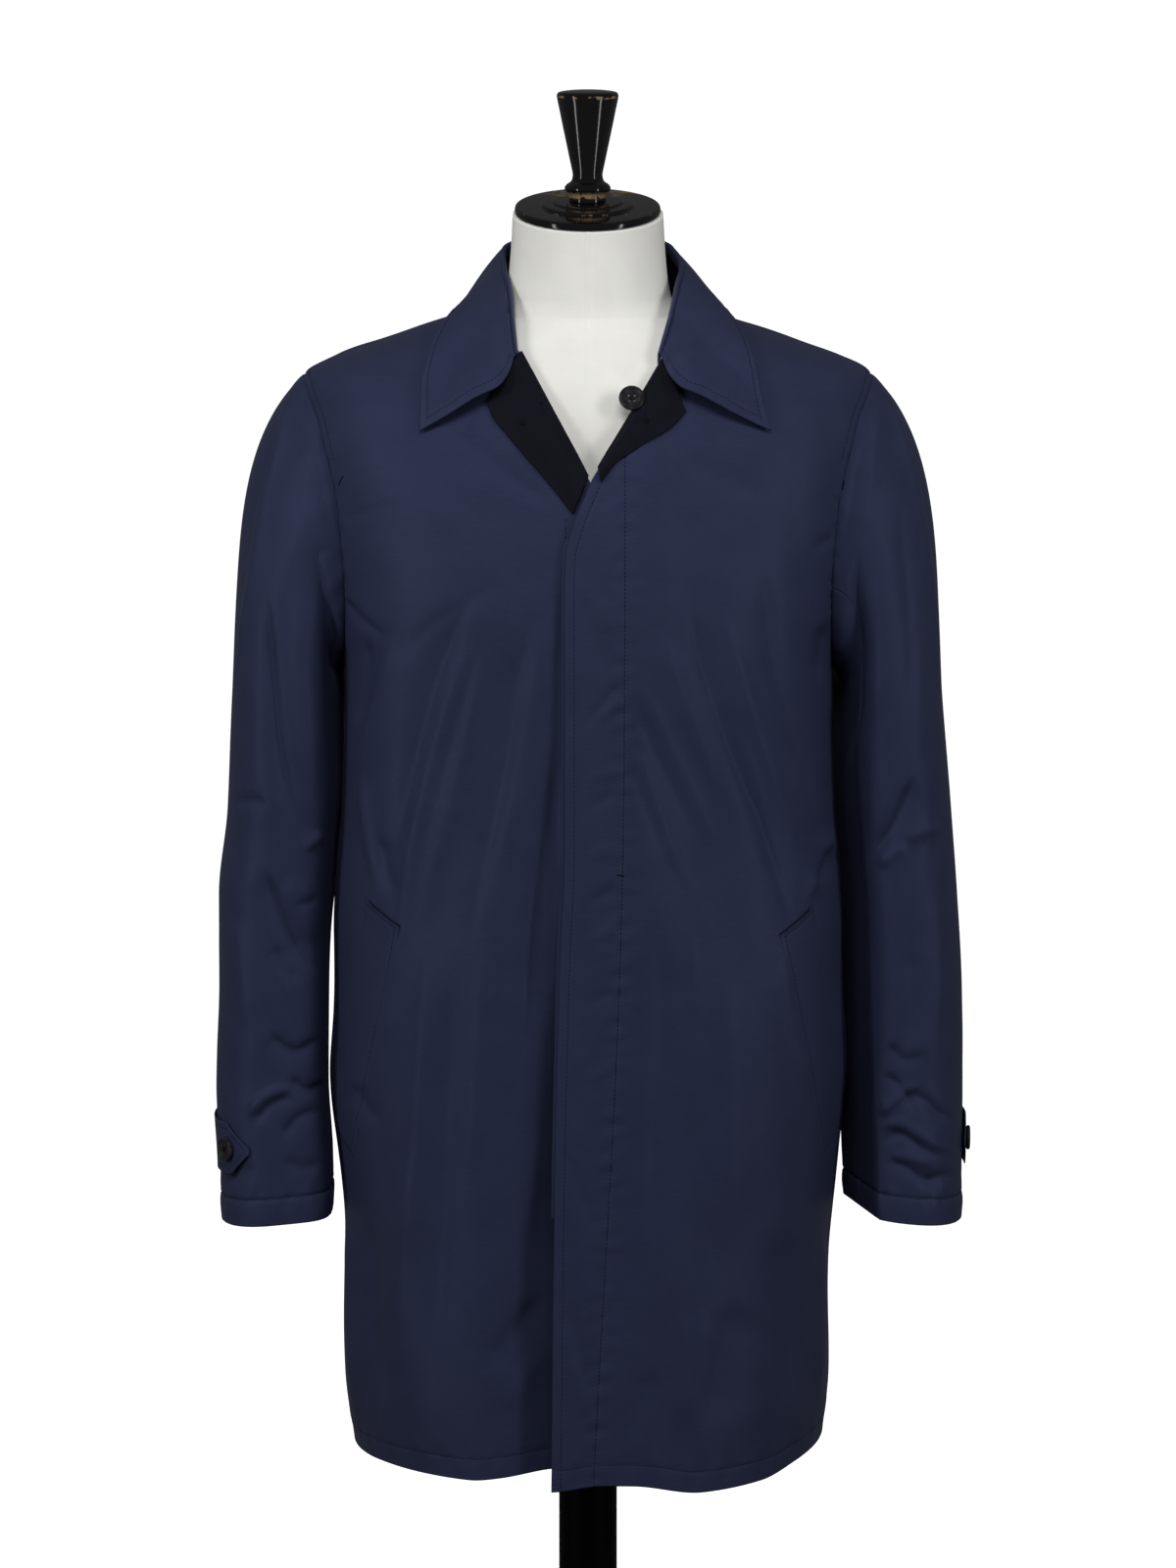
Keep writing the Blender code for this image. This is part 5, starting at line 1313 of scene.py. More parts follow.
# %% [markdown]
# The collar stands up round the neck and falls over itself. The fall rolls over the fold at its top
# edge, lies clear of the shoulders and ends in two points. A stitched line follows its edge.

# %% Collar tables
# part of the way from the roll top to the middle back, x, y, z
COLLAR_FOLD = Profile([
    (0.00, 0.0560, -0.0860, 1.4670),
    (0.16, 0.0615, -0.0600, 1.4910),
    (0.32, 0.0665, -0.0300, 1.5130),
    (0.52, 0.0715, 0.0100, 1.5290),
    (0.70, 0.0670, 0.0470, 1.5390),
    (0.86, 0.0410, 0.0760, 1.5450),
    (1.00, 0.0000, 0.0850, 1.5470),
])
# same way, x on the right, x on the left, y, z
COLLAR_EDGE = Profile([
    (0.00, 0.1285, 0.1394, -0.1080, 1.4095),
    (0.16, 0.1290, 0.1335, -0.0930, 1.4390),
    (0.32, 0.1230, 0.1270, -0.0690, 1.4680),
    (0.52, 0.1050, 0.1080, -0.0050, 1.4945),
    (0.70, 0.0960, 0.0960, 0.0550, 1.4900),
    (0.86, 0.0560, 0.0560, 0.0900, 1.4790),
    (1.00, 0.0000, 0.0000, 0.0980, 1.4770),
])
# share of the way from fold to point, x, z
COLLAR_END = Profile([
    (0.00, 0.0560, 1.4670),
    (0.20, 0.0625, 1.4475),
    (0.32, 0.0690, 1.4390),
    (0.50, 0.0850, 1.4325),
    (0.75, 0.1090, 1.4210),
    (1.00, 0.1345, 1.4095),
])
COLLAR_SHOULDER = 0.52
COLLAR_LIFT = 0.0050
COLLAR_END_REACH = 0.22
# how far the fall arches out or sags in, by share of the way
COLLAR_ROLL = Profile([(0.00, 0.0045), (0.16, 0.0035), (0.32, 0.0020), (0.50, 0.0010),
                       (0.68, 0.0030), (0.86, 0.0045), (1.00, 0.0045)])
# the collar sits a little towards the left
COLLAR_SHIFT = Profile([(0.00, 0.0), (0.30, 0.0040), (0.50, 0.0040), (0.70, 0.0), (1.00, 0.0)])
COLLAR_ROLL_UP = 0.6
COLLAR_STAND_FROM = 0.09
COLLAR_STITCH = 0.0068
COLLAR_CURL = 0.0100
STAND_INSET = 0.0028
STAND_RISE = 0.0010
STAND_DROP = 0.0052
FOLD_RADIUS = 0.0015
LEVEL = np.array([1.0, 1.0, 0.0])
UP = np.array([0.0, 0.0, 1.0])
CREASES_COLLAR = [
    ([(494, 330), (505, 360), (512, 392)], 9, 1.2),
    ([(470, 372), (486, 396), (500, 404)], 9, -1.0),
    ([(712, 336), (706, 364), (700, 396)], 9, 1.2),
    ([(742, 380), (726, 400), (708, 408)], 9, -1.0),
    ([(455, 345), (448, 385), (440, 415)], 8, 0.7),
]
print("creases on the collar:", len(CREASES_COLLAR))

# %% Lines of the collar
LIFT_ROUNDS = 4


def lift_off_body(points, height):
    """Moves points out until they stand this far off the plain body."""

    def gap(p):
        on = section_point(BODY, np.arctan2(p[..., 0], -p[..., 1]), p[..., 2])
        return np.hypot(p[..., 0], p[..., 1]) - np.hypot(on[..., 0], on[..., 1])

    step = 1e-4
    for _ in range(LIFT_ROUNDS):
        grad = np.stack([(gap(points + step * axis) - gap(points - step * axis)) / (2 * step)
                         for axis in np.eye(3)], axis=-1)
        size = np.maximum(np.linalg.norm(grad, axis=-1), 1e-9)
        short = np.maximum(height - gap(points) / size, 0.0)
        points = points + grad / size[..., None] * short[..., None]
    return points


def collar_way():
    ends = np.array([0.0, 0.003, 0.008, 0.018, 0.026, 0.030, 0.034, 0.042])
    half = np.concatenate([ends, np.linspace(0.055, 1, 74)])
    way = np.concatenate([-1 + half, (1 - half[:-1])[::-1]])
    return 1 - np.abs(way), np.where(way < 0, -1.0, 1.0)


def collar_fold(share, sign):
    fold = COLLAR_FOLD.at(share)
    fold[:, 0] = fold[:, 0] * sign + COLLAR_SHIFT.at(share)[:, 0]
    return fold


# %% Collar
# height of the short leg inside the fold
LEG_STEPS = np.array([0.006, 0.003])


def collar_fall():
    share, sign = collar_way()
    fold = collar_fold(share, sign)
    edge_all = COLLAR_EDGE.at(share)
    edge = edge_all[:, 1:].copy()
    edge[:, 0] = np.where(sign < 0, -edge_all[:, 0], edge_all[:, 1])
    back = np.array([0.0, 0.007, 0.02, 0.04, 0.065, 0.078, 0.09, 0.102, 0.115])
    rows = np.concatenate([np.linspace(0, 0.86, 24), 1 - back[::-1]])
    t = rows[:, None, None]
    outward = unit(fold * LEVEL)
    arch = (outward + UP * COLLAR_ROLL_UP) * 4 * t * (1 - t) * COLLAR_ROLL.at(share)
    fall = fold + (edge - fold) * t + arch
    end = COLLAR_END.at(rows)
    for col, side in ((0, -1.0), (-1, 1.0)):
        stretch = np.abs(edge[col, 0]) / COLLAR_END.v[-1, 0]
        x = side * end[:, 0] * (1 + (stretch - 1) * rows)
        want = section_point(BODY, front_angle(x, end[:, 1]), end[:, 1])
        want[0] = fold[col]
        near = np.clip(1 - share / COLLAR_END_REACH, 0, 1) ** 2 * (sign == side)
        fall = fall + (want - fall[:, col])[:, None, :] * near[None, :, None]
    fall = lift_off_body(fall, COLLAR_LIFT)
    out = grid_normals(fall, outward + UP)
    curl = smooth_step(0.05, 0.32, rows) * smooth_step(1.05, 0.45, rows)
    fall = fall + out * (COLLAR_CURL * curl[:, None] * smooth_step(0.16, 0.0, share))[..., None]
    height = creased(fall, out, CREASES_COLLAR)
    way = inset(fall, ("high", "first", "last"))
    height = height + groove(way, COLLAR_STITCH, GROOVE_WIDTH, 0.0005)
    height = height + pucker(edge_way(fall, "first"), way - 0.004, 71, 0.00025, 0.007, 0.016)
    fall = fall + out * height[..., None]
    raised = fall + grid_normals(fall, out) * CLOTH_THICK / 2
    STITCH_LINES.append(line_at(raised, "high", COLLAR_STITCH, COLLAR_STITCH, COLLAR_STITCH))
    for end_edge in ("first", "last"):
        STITCH_LINES.append(line_at(raised, end_edge, COLLAR_STITCH, 0.006, COLLAR_STITCH))
    arc = np.radians(np.linspace(200, 15, 9))[:, None, None]
    centre = fall[0] - outward * FOLD_RADIUS
    roll = centre + outward * FOLD_RADIUS * np.cos(arc) + UP * FOLD_RADIUS * np.sin(arc)
    leg = roll[:1] - UP * LEG_STEPS[:, None, None]
    return cloth("collar_fall", np.concatenate([leg, roll, fall]), outward + UP, free=ALL_EDGES)


def collar_stand():
    share, sign = collar_way()
    share = COLLAR_STAND_FROM + (1 - COLLAR_STAND_FROM) * share
    fold = collar_fold(share, sign)
    roll = np.where(sign < 0, RIGHT_ROLL_TOP[1], LEFT_ROLL_TOP[1])
    start = front_angle(np.where(sign < 0, RIGHT_ROLL_TOP[0], LEFT_ROLL_TOP[0]), roll)
    ahead = np.clip(share / COLLAR_SHOULDER, 0, 1)
    behind = np.clip((share - COLLAR_SHOULDER) / (1 - COLLAR_SHOULDER), 0, 1)
    angle = start + (math.pi / 2 - start) * ahead + math.pi / 2 * behind
    foot = section_point(BODY, sign * angle, roll + (NECK_POINT_Z - roll) * neck_rise(ahead))
    outward = unit(foot * LEVEL)
    foot = foot - outward * STAND_INSET + UP * STAND_RISE
    t = np.linspace(0, 1, 16)[:, None, None]
    points = foot + (fold - UP * STAND_DROP - foot) * t
    return cloth("collar_stand", points, outward, free=ALL_EDGES)


finish_cloth(collar_fall(), "collar_fall", ("collar_stand",))
finish_cloth(collar_stand(), "collar_stand", ("bust",))

# %% [markdown]
# Below the collar the fronts roll open and show the dark inner cloth. Each turned-back corner wraps
# the rolled edge, so its first columns run round a small half circle.

# %% Revers
# share of the roll line from its top, outer edge x, z
REVERS = {
    -1: Profile([(0.04, 0.0772, 1.4310), (0.22, 0.0735, 1.4220), (0.40, 0.0625, 1.4090),
                 (0.58, 0.0470, 1.3915), (0.76, 0.0315, 1.3745), (0.95, 0.0115, 1.3500)]),
    1: Profile([(0.04, 0.0750, 1.4250), (0.22, 0.0640, 1.4140), (0.40, 0.0480, 1.4045),
                (0.58, 0.0328, 1.3945), (0.76, 0.0205, 1.3860), (0.92, 0.0100, 1.3725)]),
}
REVERS_LIFT = 0.00235
CREASES_REVERS = [
    ([(520, 392), (545, 440), (575, 490)], 14, 0.8),
    ([(552, 400), (572, 440), (590, 480)], 8, -0.7),
    ([(668, 400), (650, 430), (625, 462)], 9, 0.8),
]


def revers(name, side):
    table = REVERS[side]
    top, low = table.t[0], table.t[-1]
    share = np.concatenate([top + np.array([0, 0.006, 0.016]), np.linspace(top + 0.03, low - 0.02, 44),
                            low - np.array([0.010, 0.004, 0.0])])
    edge = table.at(share)
    share = share - 0.05 * smooth_step(0.25, 0.0, share)
    top_x, top_z = ROLL_TOP[side]
    low_x, low_z = EDGE[side].v[-1, 0], EDGE[side].t[-1]
    roll_x = (top_x + (low_x - top_x) * share)[:, None]
    roll_z = (top_z + (low_z - top_z) * share)[:, None]
    s = np.concatenate([np.linspace(0, 0.9, 22), [0.94, 0.965, 0.985, 1.0]])
    x = side * (roll_x + (edge[:, :1] - roll_x) * s)
    z = roll_z + (edge[:, 1:] - roll_z) * s
    angle = front_angle(x, z)
    out = body_normal(angle, z, side)
    base = body_surface(angle, z, side)
    puff = 0.0022 * smooth_step(0.0, 0.25, s) * smooth_step(1.0, 0.55, s)
    height = REVERS_LIFT + puff[None, :] + creased(base, out, CREASES_REVERS)
    points = base + out * height[..., None]
    away = unit(base[:, 0] - base[:, 3])[:, None, :]
    arc = np.radians(np.linspace(-80, 75, 8))[None, :, None]
    wrap = base[:, :1] + (away * np.cos(arc) + out[:, :1] * np.sin(arc)) * REVERS_LIFT
    whole = np.concatenate([wrap, points], axis=1)
    return cloth(name, whole, out[:, :1], ALL_EDGES, THIN_CLOTH, LINING, LINING), points, out


REVERS_MADE = {-1: revers("revers_R", -1), 1: revers("revers_L", 1)}
finish_cloth(REVERS_MADE[-1][0], "revers_R", ("front_R",))
finish_cloth(REVERS_MADE[1][0], "revers_L", ("front_L",))

# %% [markdown]
# Small pieces lie on the large ones: the strip behind the fly, the slanted pocket welts and the
# pointed tabs at the cuffs. Each is drawn on the surface beneath it and moved out.

# %% Underlay, welts and tabs
UNDERLAY_Z = (0.800, 1.330)
UNDERLAY_OUT = 0.0028
UNDERLAY_WIDTH = 0.034
PATCH_LIFT = CLOTH_THICK + THIN_CLOTH
# front edge top x, z, bottom x, z
WELTS = {-1: (0.1470, 1.0250, 0.1840, 0.8310), 1: (0.1500, 1.0180, 0.1850, 0.8300)}
WELT_WIDTH = 0.036
WELT_RISE = 0.019
WELT_STITCH = 0.0045
WELT_THICK = 0.0004
# lines along the welt tops where a dark cord paints the shadow in each pocket mouth
POCKET_SHADOW_LINES = []
WELT_LIFT = 0.00108
# pointed end angle, sewn end angle in degrees
TABS = {-1: (108.0, 196.0), 1: (158.0, 238.0)}
TAB_Z = 0.8375
TAB_HALF = 0.0185
TAB_POINT = 0.22
TAB_BLUNT = 0.12
TAB_STITCH = 0.0045
TAB_BUTTON_SHARE = 0.25
TAB_LIFT = 0.0030


def edged(length, stitch, count):
    """Shares of a length with points close to both ends and to a stitched line."""
    near = np.concatenate([SUPPORT[:3], around(stitch)]) / length
    return np.concatenate([near, np.linspace(near[-1], 1 - near[-1], count)[1:-1], 1 - near[::-1]])


def fly_underlay():
    z = np.linspace(*UNDERLAY_Z, 130)[:, None]
    s = np.concatenate([[0, 0.015, 0.05], np.linspace(0.1, 1, 10)])[None, :]
    x = EDGE[1].at(z[:, 0])[:, :1] - UNDERLAY_OUT + (UNDERLAY_WIDTH + UNDERLAY_OUT) * s
    z = z + 0 * s
    angle = front_angle(x, z)
    out = body_normal(angle, z, 1)
    points = body_surface(angle, z, 1) - out * (PATCH_LIFT - 0.0004)
    return cloth("fly_underlay", points, out, ALL_EDGES, THIN_CLOTH)


def welt(name, side, creases, seed):
    top_x, top_z, low_x, low_z = WELTS[side]
    t = edged(0.20, WELT_STITCH, 60)[:, None]
    s = edged(WELT_WIDTH, WELT_STITCH, 8)[None, :]
    x = side * (top_x + (low_x - top_x) * t)
    z = top_z + (low_z - top_z) * t + 0 * s
    start = front_angle(x + 0 * s, z)
    radius = np.linalg.norm(section_point(BODY, start, z)[..., :2], axis=-1)
    angle = start + side * s * WELT_WIDTH / radius
    z = z + WELT_RISE * s
    out = body_normal(angle, z, side)
    base = body_surface(angle, z, side)
    way = inset(base, ("low", "first"))
    height = creased(base, out, creases) * FRONT_CREASE_GAIN + drape(base, seed, 0.0007) + WELT_LIFT
    height = height + groove(way, WELT_STITCH, GROOVE_WIDTH, 0.0003)
    height = height + 0.0012 * np.exp(-edge_way(base, "low") / 0.010)
    height = height - 0.0007 * smooth_step(0.004, 0.0, inset(base, ("first", "last", "high")))
    points = base + out * height[..., None]
    raised = points + grid_normals(points, out) * WELT_THICK / 2
    STITCH_LINES.append(line_at(raised, "first", WELT_STITCH, WELT_STITCH, 0.004))
    STITCH_LINES.append(line_at(raised, "low", WELT_STITCH, WELT_STITCH, 0.004))
    # Painted shadow: the pocket mouth above the welt is only shade, so a dark cord is laid along the welt's
    # top edge.
    POCKET_SHADOW_LINES.append(raised[0, : int(raised.shape[1] * 0.72)] + out[0, 0] * 0.0002)
    return cloth(name, points, out, ALL_EDGES, WELT_THICK)


# %% Tabs and all small pieces


def cuff_tab(name, side):
    sleeve = SLEEVES[side]
    first, last = np.radians(TABS[side])
    s = edged(0.075, TAB_STITCH, 26)
    across = np.linspace(-1, 1, 25)
    half = TAB_HALF * (TAB_BLUNT + (1 - TAB_BLUNT) * np.clip(s / TAB_POINT, 0, 1))
    turn = (first + (last - first) * s)[None, :] + 0 * across[:, None]
    base = sleeve.ring(turn, TAB_Z + across[:, None] * half)
    out = grid_normals(base, base - sleeve.ring(turn, 0 * turn + TAB_Z).mean(axis=1, keepdims=True))
    way = inset(base, ("low", "high", "first"))
    height = TAB_LIFT + groove(way, TAB_STITCH, 0.0010, 0.0004)
    height = height + 0.0006 * smooth_step(0.3, 0.0, s)[None, :]
    points = base + out * height[..., None]
    raised = points + out * THIN_CLOTH / 2
    for edge in ("low", "high"):
        STITCH_LINES.append(line_at(raised, edge, TAB_STITCH, 0.008, 0.003))
    middle = len(across) // 2
    at = np.argmin(np.abs(s - TAB_BUTTON_SHARE))
    return cloth(name, points, out, ALL_EDGES, THIN_CLOTH), raised[middle, at], out[middle, at]


finish_cloth(fly_underlay(), "fly_underlay", ("front_L",))
for mark, row in FRONT_TABLES.items():
    name = "pocket_welt_" + mark
    finish_cloth(welt(name, *row), name, ("front_" + mark,))
TAB_SPOTS = {}
for side, mark in ((-1, "R"), (1, "L")):
    name = "cuff_tab_" + mark
    tab, spot, facing = cuff_tab(name, side)
    TAB_SPOTS[mark] = (spot, facing)
    finish_cloth(tab, name, ("sleeve_top_" + mark,))

# %% [markdown]
# Stitches repeat along a path, which is what Geometry Nodes are good at. One tree walks a line at a
# fixed pitch, lays a small spindle of thread at each step and turns it to the line.

# %% Stitches
STITCH_PITCH = 0.0032
STITCH_LENGTH = 0.0024
STITCH_THICK = 0.00062


def stitch_tree(material):
    tree = bpy.data.node_groups.new("stitch_line", "GeometryNodeTree")
    sockets = {}
    for name in ("Line", "Pitch", "Length", "Thickness"):
        kind = "NodeSocketGeometry" if name == "Line" else "NodeSocketFloat"
        sockets[name] = tree.interface.new_socket(name, in_out="INPUT", socket_type=kind)
    tree.interface.new_socket("Stitches", in_out="OUTPUT", socket_type="NodeSocketGeometry")

    def node(kind, links=None, **settings):
        made = tree.nodes.new(kind)
        for key, value in settings.items():
            setattr(made, key, value)
        for key, value in (links or {}).items():
            if hasattr(value, "is_linked"):
                tree.links.new(value, made.inputs[key])
            else:
                made.inputs[key].default_value = value
        return made

    start = node("NodeGroupInput")
    curve = node("GeometryNodeMeshToCurve", {"Mesh": start.outputs["Line"]})
    pitch = {"Curve": curve.outputs[0], "Length": start.outputs["Pitch"]}
    steps = node("GeometryNodeResampleCurve", pitch, mode="LENGTH")
    spindle = node("GeometryNodeMeshUVSphere", {"Segments": 6, "Rings": 4, "Radius": 0.5})
    length, thick = start.outputs["Length"], start.outputs["Thickness"]
    size = node("ShaderNodeCombineXYZ", {0: length, 1: thick, 2: thick})
    laid = node("GeometryNodeTransform", {"Geometry": spindle.outputs[0], "Scale": size.outputs[0]})
    along = node("GeometryNodeInputTangent")
    turn = node("FunctionNodeAlignRotationToVector", {"Vector": along.outputs[0]}, axis="X")
    each = {"Points": steps.outputs[0], "Instance": laid.outputs[0], "Rotation": turn.outputs[0]}
    many = node("GeometryNodeInstanceOnPoints", each)
    real = node("GeometryNodeRealizeInstances", {"Geometry": many.outputs[0]})
    dressed = node("GeometryNodeSetMaterial", {"Geometry": real.outputs[0], "Material": material})
    end = node("NodeGroupOutput")
    tree.links.new(dressed.outputs[0], end.inputs[0])
    return tree, {name: socket.identifier for name, socket in sockets.items()}


# %% Stitched lines


def stitched(name, lines, material, sizes):
    """One mesh of all the stitches on these lines."""
    points, edges = [], []
    for line in lines:
        if len(line) > 1:
            edges += [(len(points) + k, len(points) + k + 1) for k in range(len(line) - 1)]
            points += line.tolist()
    mesh = bpy.data.meshes.new(name + "_lines")
    mesh.from_pydata(points, edges, [])
    carrier = bpy.data.objects.new(name + "_lines", mesh)
    bpy.context.scene.collection.objects.link(carrier)
    tree, keys = stitch_tree(material)
    modifier = carrier.modifiers.new("stitches", "NODES")
    modifier.node_group = tree
    for key, value in sizes.items():
        modifier[keys[key]] = value
    bpy.context.view_layer.update()
    laid = carrier.evaluated_get(bpy.context.evaluated_depsgraph_get())
    made = bpy.data.objects.new(name, bpy.data.meshes.new_from_object(laid))
    bpy.data.objects.remove(carrier)
    bpy.context.scene.collection.objects.link(made)
    made.data.polygons.foreach_set("use_smooth", np.full(len(made.data.polygons), True))
    print(name, len(made.data.polygons), "faces")
    return made


stitches = stitched("stitching", STITCH_LINES, THREAD.material,
                    {"Pitch": STITCH_PITCH, "Length": STITCH_LENGTH, "Thickness": STITCH_THICK})
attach(stitches, "root")

# %% [markdown]
# The fly is held by a bar of close stitches where its line bends, and each turned-back corner has a
# worked buttonhole with a round eye. A dark cord of the same close stitches paints the shadow in each
# pocket mouth. The same tree makes them with a shorter pitch.

# %% Buttonholes, bar tacks and painted pocket shadows
HOLE_PITCH = 0.0007
EYE_RADIUS = 0.0019
SLIT_HALF = 0.0009
HOLE_LIFT = 0.0008
TACK_LIFT = 0.0004
# eye of the hole and its far end, as seen in the picture
BUTTONHOLES = {-1: ((534, 431), (553, 411)), 1: ((659, 429), (648, 418))}
TACKS = [(1, (629, 893), (637, 893)), (1, (862, 491), (867, 499)), (-1, (350, 486), (346, 494))]


def on_cloth(grid, out, where):
    """Point of a grid that shows at a place in the picture."""
    shown = seen(grid).reshape(-1, 2)
    near = np.argsort(((shown - np.array(where)) ** 2).sum(axis=1))[:4]
    return grid.reshape(-1, 3)[near].mean(axis=0), unit(out.reshape(-1, 3)[near].mean(axis=0))


def keyhole(eye, far, normal):
    """Outline of a worked hole: a slit that opens into a round eye."""
    along = unit(far - eye)
    side = np.cross(normal, along)
    turn = np.radians(np.linspace(30, 330, 22))[:, None]
    ring = eye + EYE_RADIUS * (along * np.cos(turn) + side * np.sin(turn))
    slit = side * SLIT_HALF
    return np.vstack([far + slit, ring, far - slit, far + along * 0.0006, far + slit])


def tack(side, start, end):
    """Close stitches on a front between two places of the picture."""
    (a, normal), (b, _) = (on_cloth(*FRONT_FACES[side], place) for place in (start, end))
    return np.array([a, (a + b) / 2, b]) + normal * TACK_LIFT


hole_lines = []
for side, (eye, far) in BUTTONHOLES.items():
    _, grid, out = REVERS_MADE[side]
    eye_at, normal = on_cloth(grid, out, eye)
    far_at, _ = on_cloth(grid, out, far)
    hole_lines.append(keyhole(eye_at, far_at, normal) + normal * HOLE_LIFT)
worked = stitched("buttonholes", hole_lines, DARK_THREAD_AND_SHADOW.material,
                  {"Pitch": HOLE_PITCH, "Length": 0.0011, "Thickness": 0.0010})
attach(worked, "root")
tack_lines = [tack(side, start, end) for side, start, end in TACKS]
# The bar tacks and the dark cords that paint the pocket-mouth shadow are one mesh.
tacks_and_pocket_shadows = stitched("bar_tacks_and_pocket_shadows", tack_lines + POCKET_SHADOW_LINES, DARK_THREAD_AND_SHADOW.material,
                {"Pitch": HOLE_PITCH, "Length": 0.0014, "Thickness": 0.0009})
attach(tacks_and_pocket_shadows, "root")

# %% [markdown]
# Turned work is a profile spun about an axis: the buttons, the knob, the cap on the neck and the
# stand. A smooth curve through the profile's points gives each bead and hollow its roundness.

# %% Turned pieces


def spun(profile, segments):
    """Points and faces of a closed turned shape about Z."""
    turn = np.arange(segments) * 2 * math.pi / segments
    rings = np.array([[(r * math.cos(a), r * math.sin(a), z) for a in turn] for r, z in profile])
    rows = len(profile)
    points = np.vstack([rings.reshape(-1, 3), rings[0].mean(axis=0), rings[-1].mean(axis=0)])
    index = np.arange(rows * segments).reshape(rows, segments)
    ahead = np.roll(index, -1, axis=1)
    faces = np.stack([index[:-1], ahead[:-1], ahead[1:], index[1:]], axis=-1).reshape(-1, 4).tolist()
    low, high = rows * segments, rows * segments + 1
    faces += [(b, a, low) for a, b in zip(index[0], ahead[0])]
    faces += [(a, b, high) for a, b in zip(index[-1], ahead[-1])]
    return points, faces


def softened(profile, steps=5):
    return [tuple(p) for p in smooth_path(profile, steps)]


def turned_piece(name, node, material, points, faces):
    made = piece(name, points, faces, None, [material], np.zeros(len(faces)))
    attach(made, "root")
    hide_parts(node)
    print(made.name, len(made.data.polygons), "faces")


# %% Cap and knob
# radius, height above the underside
CAP_PROFILE = [(0.0540, 0.0), (0.0562, 0.0002), (0.0571, 0.0010), (0.0572, 0.0030),
               (0.0570, 0.0048), (0.0558, 0.0060), (0.0500, 0.0064), (0.0400, 0.0067),
               (0.0374, 0.0068), (0.0366, 0.0074), (0.0362, 0.0084), (0.0352, 0.0089),
               (0.0300, 0.0092), (0.0284, 0.0094), (0.0277, 0.0100), (0.0270, 0.0106),
               (0.0240, 0.0107)]
CAP_Z = 1.5700
CAP_SHIFT_X = -0.0003
NECK_TILT = 0.172
# radius, height above the floor
KNOB_PROFILE = [(0.0140, 1.5809), (0.0145, 1.5815), (0.0149, 1.5850), (0.0158, 1.5866),
                (0.0176, 1.5880), (0.0181, 1.5897), (0.0177, 1.5914), (0.0162, 1.5932),
                (0.0136, 1.5950), (0.0124, 1.5966), (0.0119, 1.5990), (0.0119, 1.6020),
                (0.0139, 1.6115), (0.0160, 1.6215), (0.0181, 1.6315), (0.0202, 1.6415),
                (0.0222, 1.6515), (0.0236, 1.6580), (0.0241, 1.6608), (0.0241, 1.6626),
                (0.0234, 1.6642), (0.0210, 1.6653), (0.0140, 1.6662), (0.0060, 1.6666)]
points, faces = spun(softened(CAP_PROFILE, 4), 128)
points[:, 2] += CAP_Z + points[:, 1] * NECK_TILT
points[:, 0] += CAP_SHIFT_X
turned_piece("neck_cap", "neck_cap", LACQUER.material, points, faces)
points, faces = spun(softened(KNOB_PROFILE, 5), 96)
points[:, 2] += points[:, 1] * NECK_TILT * smooth_step(1.5860, 1.5809, points[:, 2])
points[:, 0] += CAP_SHIFT_X
turned_piece("knob", "knob", LACQUER.material, points, faces)

# %% Stand
POST_RADIUS = 0.0235
POST_Z = (0.0233, 0.8273)
POST_END = [(0.020, 0.0), (0.0228, 0.0), (POST_RADIUS, 0.0008)]
# radius, height above the floor
BASE_PROFILE = [(0.1500, 0.0), (0.1945, 0.0), (0.1978, 0.0008), (0.1995, 0.0024),
                (0.2000, 0.0050), (0.2000, 0.0120), (0.1994, 0.0160), (0.1975, 0.0180),
                (0.1940, 0.0190), (0.1400, 0.0205), (0.0800, 0.0222), (0.0520, 0.0229),
                (0.0400, 0.0230)]
points, faces = spun(BASE_PROFILE, 160)
turned_piece("base", "base", STEEL.material, points, faces)
low, high = POST_Z
post = [(radius, low + rise) for radius, rise in POST_END] + [(POST_RADIUS, low + 0.02)]
post += [(POST_RADIUS, z) for z in np.linspace(low + 0.05, high - 0.02, 12)]
post += [(radius, high - rise) for radius, rise in POST_END[::-1]]
points, faces = spun(post, 64)
turned_piece("post", "post", STEEL.material, points, faces)

# %% [markdown]
# The form is one smooth closed shape with a neck. Its canvas is joined down the middle front and
# round the base of the neck, which shows as two faint lines.

# %% Dress form
# height, half width, depth to the front, depth to the back, squareness
BUST = Profile([
    (0.830, 0.1500, 0.1050, 0.1100, 2.20),
    (0.900, 0.1600, 0.1130, 0.1200, 2.20),
    (1.000, 0.1480, 0.1080, 0.1080, 2.20),
    (1.090, 0.1400, 0.1060, 0.1020, 2.20),
    (1.200, 0.1540, 0.1170, 0.1130, 2.25),
    (1.300, 0.1680, 0.1210, 0.1240, 2.30),
    (1.370, 0.1850, 0.1130, 0.1260, 2.30),
    (1.400, 0.1950, 0.1060, 0.1220, 2.25),
    (1.428, 0.2000, 0.0985, 0.1140, 2.15),
    (1.4445, 0.2005, 0.0930, 0.1085, 2.10),
    (1.4580, 0.1925, 0.0857, 0.1002, 2.10),
    (1.4698, 0.1580, 0.0783, 0.0918, 2.10),
    (1.4815, 0.1252, 0.0699, 0.0834, 2.10),
    (1.4960, 0.0770, 0.0595, 0.0695, 2.00),
    (1.5090, 0.0650, 0.0582, 0.0635, 2.00),
    (1.5350, 0.0612, 0.0575, 0.0605, 2.00),
    (1.5697, 0.0590, 0.0575, 0.0595, 2.00),
])
SHOULDER_DROP = 0.0024
NECK_TILT_FROM = 1.515
NECK_SEAM_Z = 1.5010
NECK_SEAM_DIP = 0.012
# rows that the coat hides, rows of the shoulders and neck, and columns
HIDDEN_ROWS, NECK_FORM_ROWS, FORM_COLUMNS = 20, 100, 180
# columns are closer together at the middle front, where the seam is
FRONT_CROWD = 1.25


